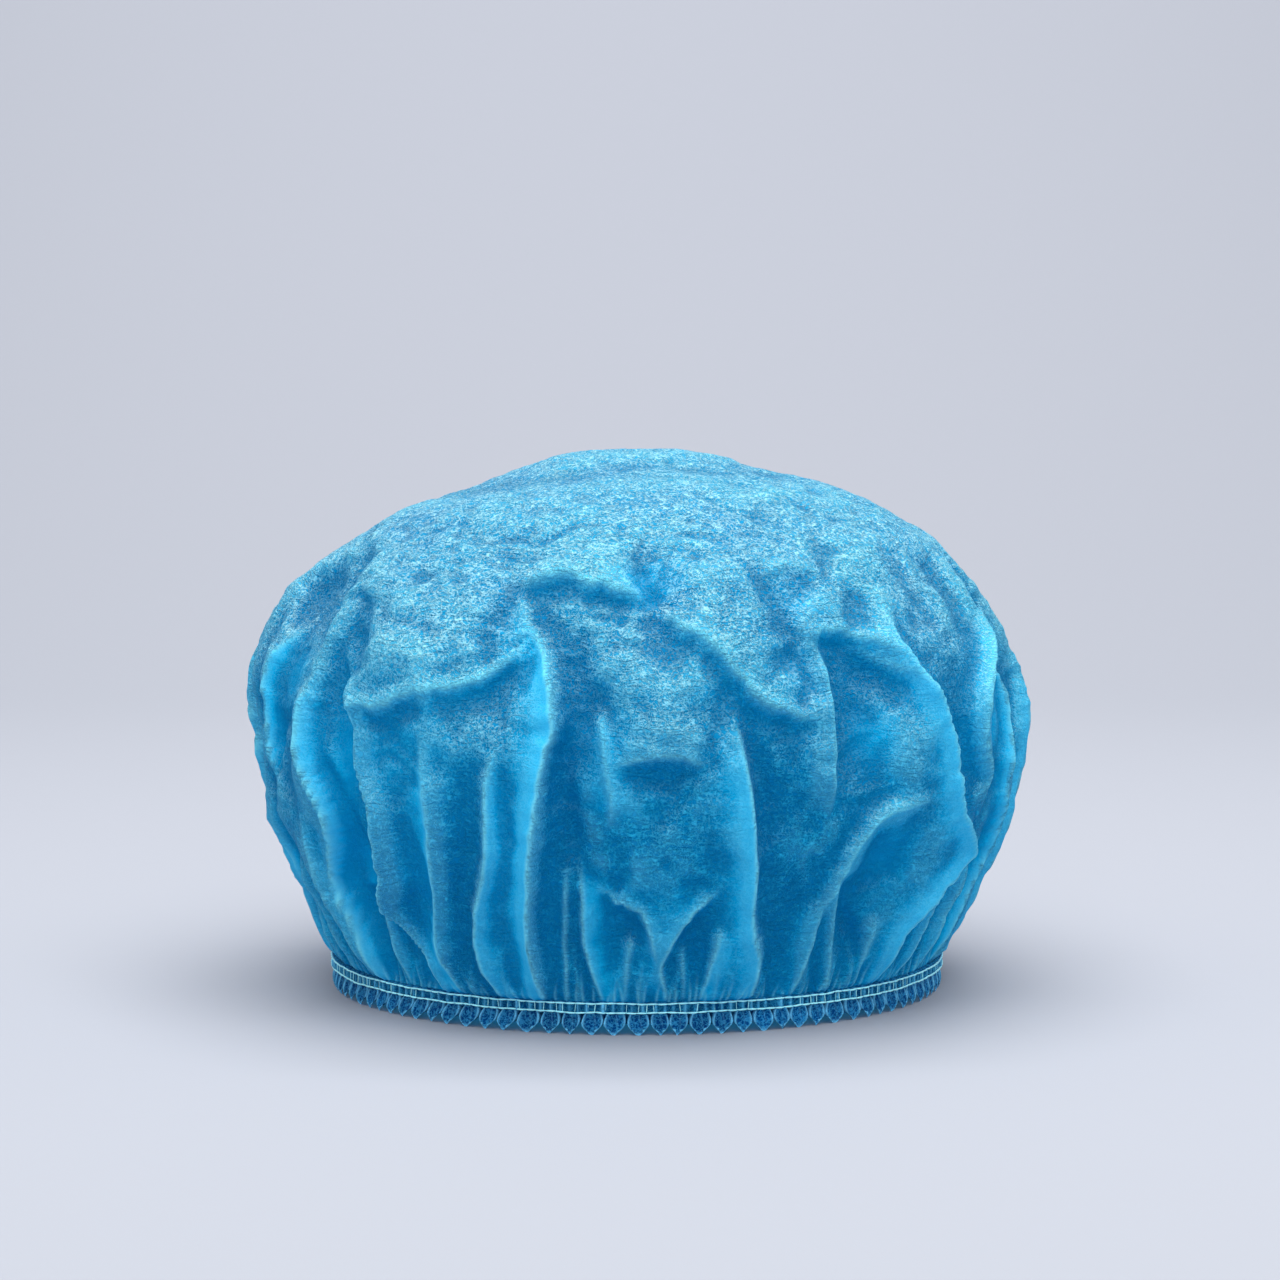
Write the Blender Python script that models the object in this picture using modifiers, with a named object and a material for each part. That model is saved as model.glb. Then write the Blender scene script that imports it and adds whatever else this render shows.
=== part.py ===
"""A disposable bouffant cap, puffed up and standing on its gathered rim.

One sheet of non-woven fabric makes it. The sheet rises as the crown, its edge is folded into
a casing that holds a flat elastic, and what is left beyond the stitches stands out as a frill
of small loops. Lengths are in metres and +Z is up. The rim's centre on the surface that the
cap stands on is the origin, and the front of the cap faces -Y. An azimuth is in degrees from
the front, and it grows towards +X.
"""

import math

import bmesh
import bpy

# Driving dimensions
CAP_HEIGHT = 0.1545
CROWN_RADIUS = 0.1120
BELLY_HEIGHT = 0.080
BAND_RADIUS = 0.0888
FRILL_FLARE = 0.0017
FRILL_HEIGHT = 0.0039
CASING_HEIGHT = 0.0040
ELASTIC_WIDTH = 0.0024
ELASTIC_THICKNESS = 0.0009
CLOTH = 0.0010
GAP = 0.0003

# Gathers of the cloth above the casing, and loops of the frill below it
GATHERS = 48
LOOPS = 96
GATHER_DEPTH = 0.0028
GATHER_REACH = 0.034
CASING_PLEAT = 0.0003
LOOP_DEPTH = 0.0030
LOOP_LIFT = 0.0012
LOOP_BELLY = 0.45

# How far the grooves between the gathers already go in at the band, as a share of their depth
GROOVE_START = 0.3

# How the crown leaves the band: under 1 it bulges at once, over 1 it rises straight first
BELLY_FULLNESS = 0.8

# Hanging folds. foot, middle and head are azimuths; low and high are shares of the cap's
# height; rise is a share of the crown's radius, outwards where positive; spread is the half
# width of the fold in degrees.
FOLDS = (
    # foot, middle, head, low, high, rise, spread
    (-54, -56, -54, 0.08, 0.62, 0.058, 5.5),
    (-46, -47, -47, 0.20, 0.60, -0.043, 5.0),
    (-36, -40, -46, 0.08, 0.66, 0.052, 4.5),
    (-32, -29, -30, 0.08, 0.57, 0.041, 4.5),
    (-24, -21, -17, 0.08, 0.56, 0.049, 4.5),
    (-16, -13, -15, 0.08, 0.80, 0.052, 4.5),
    (-7, -8, -5, 0.08, 0.50, 0.038, 4.5),
    (4, 3, 4, 0.08, 0.27, 0.035, 4.0),
    (20, 16, 14, 0.07, 0.62, 0.064, 5.0),
    (29, 28, 28, 0.28, 0.69, -0.054, 4.5),
    (36, 35, 34, 0.08, 0.34, 0.034, 4.5),
    (48, 57, 48, 0.08, 0.58, 0.072, 7.0),
    (68, 62, 60, 0.34, 0.74, 0.058, 5.5),
    (67, 68, 70, 0.30, 0.62, -0.052, 5.0),
    (84, 82, 80, 0.08, 0.66, 0.061, 5.5),
    (96, 99, 103, 0.08, 0.52, 0.046, 5.0),
    (110, 108, 112, 0.10, 0.62, -0.052, 5.0),
    (122, 124, 121, 0.08, 0.70, 0.064, 5.5),
    (137, 134, 130, 0.08, 0.50, 0.046, 5.0),
    (149, 152, 150, 0.10, 0.60, -0.055, 5.0),
    (163, 160, 163, 0.08, 0.68, 0.064, 5.5),
    (178, 176, 172, 0.08, 0.52, 0.046, 5.0),
    (190, 193, 190, 0.10, 0.62, -0.052, 5.0),
    (203, 200, 204, 0.08, 0.66, 0.067, 5.5),
    (218, 221, 219, 0.08, 0.52, 0.046, 5.0),
    (232, 229, 233, 0.10, 0.60, -0.055, 5.0),
    (246, 248, 244, 0.08, 0.70, 0.064, 5.5),
    (262, 259, 262, 0.08, 0.54, 0.046, 5.0),
    (276, 278, 274, 0.08, 0.64, 0.061, 5.5),
    (290, 291, 294, 0.08, 0.52, 0.049, 5.0),
)

# Tucks, where the cloth turns over an edge and the wall beneath it lies further in. The edge
# runs from the first azimuth and height to the second; depth is a share of the crown's radius
# and reach, how far down the hollow goes, is a share of the cap's height.
TUCKS = (
    # azimuth, height, end azimuth, end height, depth, reach
    (-47, 0.60, -17, 0.65, 0.050, 0.26),
    (-21, 0.79, 3, 0.77, 0.059, 0.15),
    (1, 0.77, 26, 0.57, 0.050, 0.15),
    (21, 0.80, 32, 0.80, 0.050, 0.15),
    (-5, 0.50, 11, 0.50, 0.039, 0.22),
    (31, 0.33, 44, 0.42, 0.040, 0.22),
    (68, 0.75, 90, 0.67, 0.050, 0.16),
    (98, 0.63, 130, 0.67, 0.050, 0.24),
    (138, 0.78, 162, 0.74, 0.056, 0.15),
    (170, 0.61, 200, 0.65, 0.050, 0.24),
    (204, 0.75, 228, 0.79, 0.050, 0.15),
    (236, 0.65, 264, 0.61, 0.050, 0.24),
    (268, 0.77, 292, 0.73, 0.050, 0.16),
)

# How folds and tucks end: the shares of a fold's length over which it rises from its foot and
# dies out to its head, how wide its skirts run out in half widths, the share of a tuck's edge
# that each of its ends takes, and the share of its reach over which the cloth turns under.
FOLD_FOOT_FADE = 0.22
FOLD_HEAD_FADE = 0.30
FOLD_SKIRT = 1.6
TUCK_END_FADE = 0.2
TUCK_LIP = 0.3

# Sections of the crown: shares of the way from the band to the belly, then degrees of the
# round dome above it. Columns are the corners that each section has round the cap.
GATHER_SECTIONS = (0.0, 0.07, 0.19)
BELLY_SECTIONS = (0.35, 0.53, 0.75, 1.0)
SHOULDER_SECTIONS = (9, 18, 27, 37)
DOME_SECTIONS = (50, 64, 77)
COLUMNS_PER_GATHER = 3
BELLY_COLUMNS = 96
DOME_COLUMNS = 48
ELASTIC_COLUMNS = 64

# Corners of one loop: the share of a loop's width that each is turned, and how far it lies in
# as a share of the loop's depth. A stitched loop is a small pleat, an open one a wide petal.
STITCHED_LOOP = ((0.0, 0.0), (0.5, 1.0))
OPEN_LOOP = ((-0.28, 0.0), (0.28, 0.0), (0.38, 1.0), (0.62, 1.0))

# Levels that the pieces share
CASING_BASE = FRILL_HEIGHT + GAP
CASING_TOP = CASING_BASE + CASING_HEIGHT
CROWN_BASE = CASING_TOP + GAP
CHANNEL_FLOOR = CASING_BASE + CLOTH
CHANNEL_OUTER = BAND_RADIUS - CLOTH
ELASTIC_OUTER = CHANNEL_OUTER - GAP
ELASTIC_INNER = ELASTIC_OUTER - ELASTIC_THICKNESS
CHANNEL_INNER = ELASTIC_INNER - GAP
CASING_INNER = CHANNEL_INNER - CLOTH


def clear_scene():
    """Removes what the file holds before the cap is made."""
    for item in list(bpy.data.objects):
        bpy.data.objects.remove(item, do_unlink=True)


def make_collection(name):
    """A collection of the scene for the cap's pieces."""
    collection = bpy.data.collections.new(name)
    bpy.context.scene.collection.children.link(collection)
    return collection


def plain_material(name, color, roughness):
    """A plain surface of one colour."""
    material = bpy.data.materials.new(name)
    material.use_nodes = True
    shader = material.node_tree.nodes["Principled BSDF"]
    shader.inputs["Base Color"].default_value = (*color, 1.0)
    shader.inputs["Roughness"].default_value = roughness
    shader.inputs["Metallic"].default_value = 0.0
    material.diffuse_color = (*color, 1.0)
    return material


def place(radius, azimuth, height):
    """The point at this distance from the axis, azimuth from the front and height."""
    turn = math.radians(azimuth)
    return (radius * math.sin(turn), -radius * math.cos(turn), height)


def smooth(share):
    """0 up to 1 with a soft start and end, for a share of the way."""
    share = min(max(share, 0.0), 1.0)
    return share * share * (3.0 - 2.0 * share)


def apart(azimuth, other):
    """The turn from one azimuth to the other, from -180 to 180 degrees."""
    return (other - azimuth + 180.0) % 360.0 - 180.0


def fold_rise(azimuth, level):
    """How far the hanging folds stand out at this azimuth and share of the cap's height."""
    total = 0.0
    for foot, middle, head, low, high, rise, spread in FOLDS:
        along = (level - low) / (high - low)
        if not 0.0 < along < 1.0:
            continue
        bend = 2.0 * (foot - 2.0 * middle + head)
        crest = foot + (head - foot - bend) * along + bend * along * along
        aside = abs(apart(crest, azimuth)) / spread
        ends = smooth(along / FOLD_FOOT_FADE) * smooth((1.0 - along) / FOLD_HEAD_FADE)
        total += rise * ends * (1.0 - smooth(aside / FOLD_SKIRT))
    return total


def tuck_depth(azimuth, level):
    """How far the cloth lies in under the tucks at this azimuth and share of the height."""
    deepest = 0.0
    for start, start_level, end, end_level, depth, reach in TUCKS:
        along = apart(start, azimuth) / (end - start)
        if not 0.0 < along < 1.0:
            continue
        edge = start_level + (end_level - start_level) * along
        under = (edge - level) / reach
        ends = smooth(along / TUCK_END_FADE) * smooth((1.0 - along) / TUCK_END_FADE)
        hollow = smooth(under / TUCK_LIP) * smooth((1.0 - under) / (1.0 - TUCK_LIP))
        deepest = max(deepest, depth * ends * hollow)
    return deepest


def crown_point(azimuth, radius, height, lean):
    """A point of the crown: the plain puff's point, moved along its slope's outward normal."""
    level = height / CAP_HEIGHT
    out = CROWN_RADIUS * (fold_rise(azimuth, level) - tuck_depth(azimuth, level))
    radius += out * math.cos(lean)
    return place(radius, azimuth, height + out * math.sin(lean))


def belly_ring(share, columns):
    """A section between the band and the belly."""
    height = CROWN_BASE + (BELLY_HEIGHT - CROWN_BASE) * share
    swell = math.sin(share * math.pi / 2.0) ** BELLY_FULLNESS
    radius = BAND_RADIUS + (CROWN_RADIUS - BAND_RADIUS) * swell
    turns = (360.0 * column / columns for column in range(columns))
    return [crown_point(turn, radius, height, 0.0) for turn in turns]


def gather_ring(share):
    """A section near the band, where every gather is a round pipe beside a narrow groove."""
    climb = (BELLY_HEIGHT - CROWN_BASE) * share / GATHER_REACH
    start = GROOVE_START + (1.0 - GROOVE_START) * smooth(climb * COLUMNS_PER_GATHER)
    groove = GATHER_DEPTH * start * (1.0 - smooth(climb))
    points = belly_ring(share, COLUMNS_PER_GATHER * GATHERS)
    for column in range(0, len(points), COLUMNS_PER_GATHER):
        x, y, height = points[column]
        inner = 1.0 - groove / math.hypot(x, y)
        points[column] = (x * inner, y * inner, height)
    return points


def dome_ring(degrees, columns):
    """A section of the round dome above the belly."""
    lean = math.radians(degrees)
    radius = CROWN_RADIUS * math.cos(lean)
    height = BELLY_HEIGHT + (CAP_HEIGHT - BELLY_HEIGHT) * math.sin(lean)
    turns = (360.0 * column / columns for column in range(columns))
    return [crown_point(turn, radius, height, lean) for turn in turns]


def loop_ring(corners, radius, depth, height, lift=0.0):
    """A section of the rim, with the corners of one loop repeated all round it."""
    points = []
    for loop in range(LOOPS):
        for turn, inward in corners:
            azimuth = 360.0 * (loop + turn) / LOOPS
            points.append(place(radius - depth * inward, azimuth, height + lift * inward))
    return points


def inset(section, distance):
    """The section moved in by the distance, level and square to its own line."""
    points = []
    for number, (x, y, height) in enumerate(section):
        before = section[number - 1]
        after = section[(number + 1) % len(section)]
        across = after[1] - before[1]
        along = after[0] - before[0]
        length = math.hypot(across, along)
        points.append((x - across / length * distance, y + along / length * distance, height))
    return points


def round_ring(radius, height):
    """A plain round section with one column for each loop."""
    return [place(radius, 360.0 * column / LOOPS, height) for column in range(LOOPS)]


def bridge(shape, lower, upper):
    """Faces between two sections: quads where both step on together, or else triangles."""
    low = 0
    high = 0
    while low < len(lower) or high < len(upper):
        a = lower[low % len(lower)]
        b = lower[(low + 1) % len(lower)]
        c = upper[(high + 1) % len(upper)]
        d = upper[high % len(upper)]
        lead = (low + 1) * len(upper) - (high + 1) * len(lower)
        if lead == 0:
            shape.faces.new((a, b, c, d))
        elif lead < 0:
            shape.faces.new((a, b, d))
        else:
            shape.faces.new((a, c, d))
        low += lead <= 0
        high += lead >= 0


def loft(sections, closed=False, top=None):
    """A mesh through the sections, joined round to the first or drawn to a top point."""
    shape = bmesh.new()
    rings = [[shape.verts.new(point) for point in section] for section in sections]
    for lower, upper in zip(rings, rings[1:]):
        bridge(shape, lower, upper)
    if closed:
        bridge(shape, rings[-1], rings[0])
    if top is not None:
        last = rings[-1]
        summit = shape.verts.new(top)
        for column, vertex in enumerate(last):
            shape.faces.new((vertex, last[(column + 1) % len(last)], summit))
    return shape


def make_object(name, shape, material, collection):
    """A named object of the mesh, shaded smooth, in the collection."""
    mesh = bpy.data.meshes.new(name)
    shape.to_mesh(mesh)
    shape.free()
    mesh.materials.append(material)
    mesh.shade_smooth()
    piece = bpy.data.objects.new(name, mesh)
    collection.objects.link(piece)
    return piece


def give_wall(piece):
    """Gives an open sheet the cloth's thickness, on its inner side."""
    wall = piece.modifiers.new("cloth", "SOLIDIFY")
    wall.thickness = CLOTH
    wall.offset = -1.0
    wall.use_even_offset = False
    wall.use_rim = True


def make_crown(material, collection):
    """The puffed crown, pleated at the band and smooth on top."""
    sections = [gather_ring(share) for share in GATHER_SECTIONS]
    sections += [belly_ring(share, BELLY_COLUMNS) for share in BELLY_SECTIONS]
    sections += [dome_ring(degrees, BELLY_COLUMNS) for degrees in SHOULDER_SECTIONS]
    sections += [dome_ring(degrees, DOME_COLUMNS) for degrees in DOME_SECTIONS]
    shape = loft(sections, top=(0.0, 0.0, CAP_HEIGHT))
    give_wall(make_object("crown", shape, material, collection))


def make_hem(material, collection):
    """The casing: a channel round the rim, pleated outside and open towards the crown."""
    inner_top = CHANNEL_FLOOR + GAP + ELASTIC_WIDTH
    sections = [
        loop_ring(STITCHED_LOOP, BAND_RADIUS + CASING_PLEAT, CASING_PLEAT, CASING_BASE),
        loop_ring(STITCHED_LOOP, BAND_RADIUS + CASING_PLEAT, CASING_PLEAT, CASING_TOP),
        round_ring(CHANNEL_OUTER, CASING_TOP),
        round_ring(CHANNEL_OUTER, CHANNEL_FLOOR),
        round_ring(CHANNEL_INNER, CHANNEL_FLOOR),
        round_ring(CHANNEL_INNER, inner_top),
        round_ring(CASING_INNER, inner_top),
        round_ring(CASING_INNER, CASING_BASE),
    ]
    make_object("gathered_hem", loft(sections, closed=True), material, collection)


def make_frill(material, collection):
    """The frill of loops below the lower stitches. It stands on the crests of its loops."""
    radius = BAND_RADIUS + FRILL_FLARE
    outside = [
        loop_ring(OPEN_LOOP, radius, LOOP_DEPTH, 0.0, LOOP_LIFT),
        loop_ring(OPEN_LOOP, radius, LOOP_DEPTH, FRILL_HEIGHT * LOOP_BELLY),
        loop_ring(STITCHED_LOOP, BAND_RADIUS, CLOTH, FRILL_HEIGHT),
    ]
    inside = [inset(section, CLOTH) for section in reversed(outside)]
    make_object("frill", loft(outside + inside, closed=True), material, collection)


def make_elastic(material, collection):
    """The flat elastic in the casing, a turned ring of four sides."""
    low = CHANNEL_FLOOR + GAP
    high = low + ELASTIC_WIDTH
    corners = [
        (ELASTIC_OUTER, 0.0, high),
        (ELASTIC_OUTER, 0.0, low),
        (ELASTIC_INNER, 0.0, low),
        (ELASTIC_INNER, 0.0, high),
    ]
    shape = bmesh.new()
    around = [shape.verts.new(corner) for corner in corners]
    for number, vertex in enumerate(around):
        shape.edges.new((vertex, around[(number + 1) % len(around)]))
    piece = make_object("elastic", shape, material, collection)
    turn = piece.modifiers.new("turn", "SCREW")
    turn.angle = math.tau
    turn.steps = ELASTIC_COLUMNS
    turn.render_steps = ELASTIC_COLUMNS
    turn.use_merge_vertices = True
    turn.merge_threshold = 0.0001


def main():
    clear_scene()
    collection = make_collection("bouffant_cap")
    cloth = plain_material("blue_nonwoven", (0.05, 0.36, 0.66), 0.75)
    rim_cloth = plain_material("hem_nonwoven", (0.03, 0.27, 0.58), 0.75)
    frill_cloth = plain_material("frill_nonwoven", (0.03, 0.22, 0.52), 0.75)
    rubber = plain_material("white_elastic", (0.80, 0.84, 0.86), 0.60)
    make_crown(cloth, collection)
    make_hem(rim_cloth, collection)
    make_frill(frill_cloth, collection)
    make_elastic(rubber, collection)


main()
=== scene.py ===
# %% [markdown]
# # A disposable bouffant cap
#
# This lesson dresses the plain solids of a puffed cap of blue non-woven cloth. The real cap is one
# round sheet whose edge is gathered on an elastic. Everything here is built around the packed
# solids, which say where each piece is and how large.

# %% Load the solids as a fixed frame
import math
import random

import bpy
import numpy as np
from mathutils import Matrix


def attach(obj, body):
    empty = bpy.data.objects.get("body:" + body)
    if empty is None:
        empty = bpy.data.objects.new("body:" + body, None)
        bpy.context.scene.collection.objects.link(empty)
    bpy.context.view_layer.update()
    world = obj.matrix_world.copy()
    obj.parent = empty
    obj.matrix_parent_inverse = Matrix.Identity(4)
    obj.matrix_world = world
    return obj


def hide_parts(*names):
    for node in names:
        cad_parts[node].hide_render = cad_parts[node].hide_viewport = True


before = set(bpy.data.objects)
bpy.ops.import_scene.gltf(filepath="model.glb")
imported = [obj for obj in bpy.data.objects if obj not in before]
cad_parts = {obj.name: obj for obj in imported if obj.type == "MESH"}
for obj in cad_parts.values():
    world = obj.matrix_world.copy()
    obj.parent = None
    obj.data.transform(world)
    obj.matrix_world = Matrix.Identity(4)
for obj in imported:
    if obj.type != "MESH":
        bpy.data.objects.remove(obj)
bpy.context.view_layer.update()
print("CAD nodes:", sorted(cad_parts))

# %% [markdown]
# ## Camera
#
# The picture was taken from a little above the rim, from about nine tenths of a metre away, with a
# lens that hardly widens what is near. These numbers were found by laying the rim's ellipse, the
# crown's outline and the loops over each other.

# %% Camera
CAMERA_PLACE = (0.0009, -0.935, 0.164)
CAMERA_PITCH = 3.92
CAMERA_LENS = 90.0
SENSOR_WIDTH = 36.0


def make_camera():
    """The camera that the picture was taken with."""
    data = bpy.data.cameras.new("front_camera")
    data.lens = CAMERA_LENS
    data.sensor_width = SENSOR_WIDTH
    data.clip_end = 20.0
    camera = bpy.data.objects.new("front_camera", data)
    camera.location = CAMERA_PLACE
    camera.rotation_euler = (math.radians(90.0 - CAMERA_PITCH), 0.0, 0.0)
    bpy.context.scene.collection.objects.link(camera)
    bpy.context.scene.camera = camera


make_camera()
print("camera at", CAMERA_PLACE)

# %% [markdown]
# ## The puff
#
# Without its folds the crown is a turned shape: it bulges out of the band, is widest at the belly
# and closes in a flat dome. A profile walked in even steps gives the grid that all later shaping
# works on: rows run round the cap and columns run up it. The columns stand closer together at the
# front and the rows closer together at the band, where the finest pleats are.

# %% Profile of the puff
CAP_HEIGHT = 0.1545
CROWN_RADIUS = 0.1120
BELLY_HEIGHT = 0.080
BAND_RADIUS = 0.0888
BELLY_FULLNESS = 0.9
CLOTH_BASE = 0.0084
COLUMNS = 1024
FRONT_CROWDING = 0.45


def walk_profile():
    """Radius and height of the plain puff at 4000 steps from the band to the top."""
    share = np.linspace(0.0, 1.0, 2000)
    swell = np.sin(share * math.pi / 2.0) ** BELLY_FULLNESS
    belly = BAND_RADIUS + (CROWN_RADIUS - BAND_RADIUS) * swell
    rise = CLOTH_BASE + (BELLY_HEIGHT - CLOTH_BASE) * share
    lean = share * math.pi / 2.0
    dome = CROWN_RADIUS * np.cos(lean)
    top = BELLY_HEIGHT + (CAP_HEIGHT - BELLY_HEIGHT) * np.sin(lean)
    return np.concatenate([belly[:-1], dome]), np.concatenate([rise[:-1], top])


profile_radius, profile_height = walk_profile()
steps = np.hypot(np.diff(profile_radius), np.diff(profile_height))
profile_length = np.concatenate([[0.0], np.cumsum(steps)])
PROFILE = float(profile_length[-1])
print("from the band to the top the cloth runs", round(PROFILE * 1000, 1), "mm")


# %% Grid of the crown
def row_lengths():
    """How far up the cloth each row lies, finer near the band."""
    lengths = [0.0]
    while lengths[-1] < PROFILE - 0.0012:
        here = lengths[-1]
        step = 0.00075 if here < 0.014 else 0.00105 if here < 0.150 else 0.0014
        lengths.append(here + step)
    return np.array(lengths)


rows = row_lengths()
turn = np.arange(COLUMNS) / COLUMNS
azimuths = 360.0 * turn - np.degrees(FRONT_CROWDING * np.sin(2.0 * np.pi * turn))
row_radius = np.interp(rows, profile_length, profile_radius)
row_height = np.interp(rows, profile_length, profile_height)
slope_radius = np.gradient(row_radius, rows)
slope_height = np.gradient(row_height, rows)
print("grid:", len(rows), "rows by", COLUMNS, "columns")

# %% [markdown]
# ## Folds
#
# The cloth hangs in crests and troughs that start under a shoulder and run down into the band.
# Each one is drawn as a line over the puff, in degrees round it from the front and millimetres up
# it. A crest is sharp, because thin cloth folds rather than bends, and often has one steep side
# with a hollow beside it, where the next panel tucks in under it.

# %% Folds seen from the front
# points as (azimuth, height in mm), crest in mm, width of the side to the right of a line that
# runs down (or above one that runs to the right), width of the other side, glow of those sides
FRONT_FOLDS = (
    (((-53, 104), (-54, 91), (-54, 72), (-51, 57), (-52, 49), (-55, 37), (-54, 26), (-53, 10)), 4.2, 2.4, 9.0, 0.9, 0.0),
    (((-58, 60), (-57, 35), (-54, 11)), 2.4, 2.4, 5.0, 0.4, 0.0),
    (((-50, 106), (-44, 91), (-41, 82), (-41, 73), (-39, 64), (-39, 55), (-41, 41), (-43, 32), (-40, 25), (-37, 19), (-36, 10)), 4.4, 8.0, 2.2, 0.0, 1.0),
    (((-45, 36), (-46, 26), (-45, 10)), 2.6, 3.0, 3.0, 0.5, 0.3),
    (((-30, 86), (-29, 69), (-29, 57), (-31, 38), (-33, 26), (-33, 18), (-32, 10)), 2.6, 6.0, 3.4, 0.0, 0.9),
    (((-17, 85), (-19, 75), (-20, 64), (-21, 50), (-24, 35), (-25, 27), (-25, 19), (-24, 10)), 3.6, 4.5, 2.6, 0.8, 0.0),
    (((-19, 121), (-16, 111), (-14, 107), (-12, 100), (-11, 85), (-12, 78), (-13, 68), (-14, 58), (-15, 43), (-16, 28), (-16, 10)), 5.0, 2.4, 6.5, 0.0, 1.0),
    (((-20, 119), (-15, 121), (-10, 121), (-4, 119), (3, 117)), 3.0, 11.0, 1.9, 0.0, 0.2),
    (((0, 127), (4, 115)), -1.8, 2.4, 2.4, 0.6, 0.6),
    (((1, 117), (7, 109), (11, 103), (14, 97), (17, 91), (22, 87), (27, 85)), 3.0, 9.0, 2.4, 0.0, 0.2),
    (((13, 92), (15, 65), (16, 54), (17, 34), (19, 22), (20, 10)), 4.4, 2.4, 7.5, 0.0, 0.9),
    (((-5, 92), (-4, 75), (-3, 65), (-4, 56)), 1.8, 3.0, 3.0, 0.5, 0.5),
    (((-4, 74), (1, 77), (6, 77), (10, 74)), 2.6, 7.0, 2.6, 0.0, 0.0),
    (((-10, 50), (-11, 30), (-12, 10)), 2.4, 3.0, 5.0, 0.0, 0.2),
    (((-8, 50), (-8, 26), (-6, 10)), 2.6, 4.0, 2.6, 0.8, 0.0),
    (((-7, 44), (-3, 38), (1, 35), (3, 23), (4, 18)), 2.6, 4.0, 3.0, 0.4, 0.0),
    (((13, 44), (9, 37), (7, 32), (4, 21), (5, 10)), 2.8, 3.0, 4.0, 0.0, 0.5),
    (((-1, 29), (-2, 10)), 1.8, 2.4, 2.4, 0.0, 0.3),
    (((7, 27), (8, 10)), 1.8, 2.4, 2.4, 0.3, 0.0),
    (((13, 33), (12, 22), (11, 10)), 2.4, 4.0, 2.4, 0.8, 0.0),
    (((24, 104), (27, 108), (31, 109), (37, 105), (42, 100)), 2.2, 7.0, 2.0, 0.0, 0.4),
    (((27, 108), (27, 90), (27, 72), (28, 58)), 3.2, 2.2, 6.0, 0.3, 0.2),
    (((22, 108), (24, 98), (26, 89)), -2.2, 4.0, 4.0, 0.3, 0.3),
    (((20, 121), (26, 124), (33, 121)), 1.0, 5.0, 2.2, 0.0, 0.0),
    (((32, 107), (38, 100), (42, 95), (46, 84)), 1.8, 5.0, 3.4, 0.0, 0.2),
    (((41, 120), (41, 105), (43, 95), (47, 80), (50, 63), (54, 54), (59, 46), (56, 41), (52, 33), (48, 25), (48, 10)), 4.4, 3.0, 7.0, 0.6, 0.9),
    (((71, 113), (63, 99), (58, 89), (57, 76), (61, 65), (60, 62), (55, 56)), 3.4, 6.0, 2.6, 0.0, 0.5),
    (((28, 26), (30, 38), (32, 48), (35, 57), (40, 62), (48, 62)), 2.3, 2.2, 6.0, 0.2, 0.5),
    (((60, 37), (57, 25), (55, 10)), 3.2, 3.0, 5.0, 0.5, 0.6),
    (((30, 44), (36, 30), (43, 12)), -3.0, 4.0, 4.0, 0.3, 0.3),
    (((29, 38), (29, 24), (28, 10)), 2.6, 2.4, 4.5, 0.0, 0.5),
    (((30, 44), (33, 25), (35, 10)), 2.4, 3.4, 2.6, 0.0, 0.3),
    (((41, 30), (42, 10)), 2.4, 3.0, 2.4, 0.4, 0.0),
    (((-46, 85), (-41, 87), (-36, 88), (-30, 92), (-24, 94), (-19, 99), (-14, 107)), 3.0, 12.0, 2.2, 0.0, 0.3),
    (((-45, 113), (-36, 109), (-26, 106)), -1.2, 3.0, 3.0, 0.0, 0.0),
    (((-66, 112), (-72, 96), (-71, 76), (-68, 58)), 2.4, 3.0, 9.0, 0.9, 0.0),
    (((-72, 62), (-76, 40), (-73, 10)), 2.2, 3.0, 6.0, 0.5, 0.3),
    (((-66, 44), (-66, 24), (-64, 10)), 2.6, 3.0, 3.4, 0.4, 0.3),
    (((70, 108), (75, 94), (76, 78), (75, 58), (78, 40), (72, 10)), 2.6, 6.0, 3.0, 0.0, 0.9),
    (((66, 44), (66, 26), (64, 10)), 2.8, 3.4, 3.0, 0.3, 0.6),
)

# soft swells and hollows as (azimuth, height in mm, half width, half height, rise, glow)
FRONT_SWELLS = (
    (-33, 104, 26, 12, 2.4, 0.0),
    (-34, 76, 17, 16, -2.8, 0.5),
    (-47, 74, 7, 22, -3.0, 1.0),
    (-49, 40, 6, 14, -2.0, 1.0),
    (-34, 40, 6, 18, -1.0, 0.6),
    (-64, 96, 10, 10, -1.5, 0.8),
    (-18, 68, 4, 18, -2.2, 0.2),
    (-9, 100, 10, 14, -1.4, 0.0),
    (4, 98, 14, 10, 0.2, 0.0),
    (4, 82, 12, 6, 2.4, 0.0),
    (4, 58, 11, 12, -2.8, 0.0),
    (-9, 64, 5, 20, -2.2, 0.0),
    (21, 68, 9, 22, -2.6, 0.0),
    (33, 88, 9, 18, -4.0, 0.3),
    (35, 80, 8, 10, -1.0, 0.8),
    (26, 116, 8, 7, -2.4, 0.3),
    (41, 46, 10, 14, -5.0, 0.7),
    (37, 42, 7, 12, -1.5, 0.0),
    (66, 80, 10, 14, -3.0, 1.0),
    (40, 72, 7, 10, 2.6, 0.0),
    (-37, 121, 4, 3, -1.6, 0.0),
    (14, 122, 16, 6, 1.2, 0.0),
)

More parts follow.
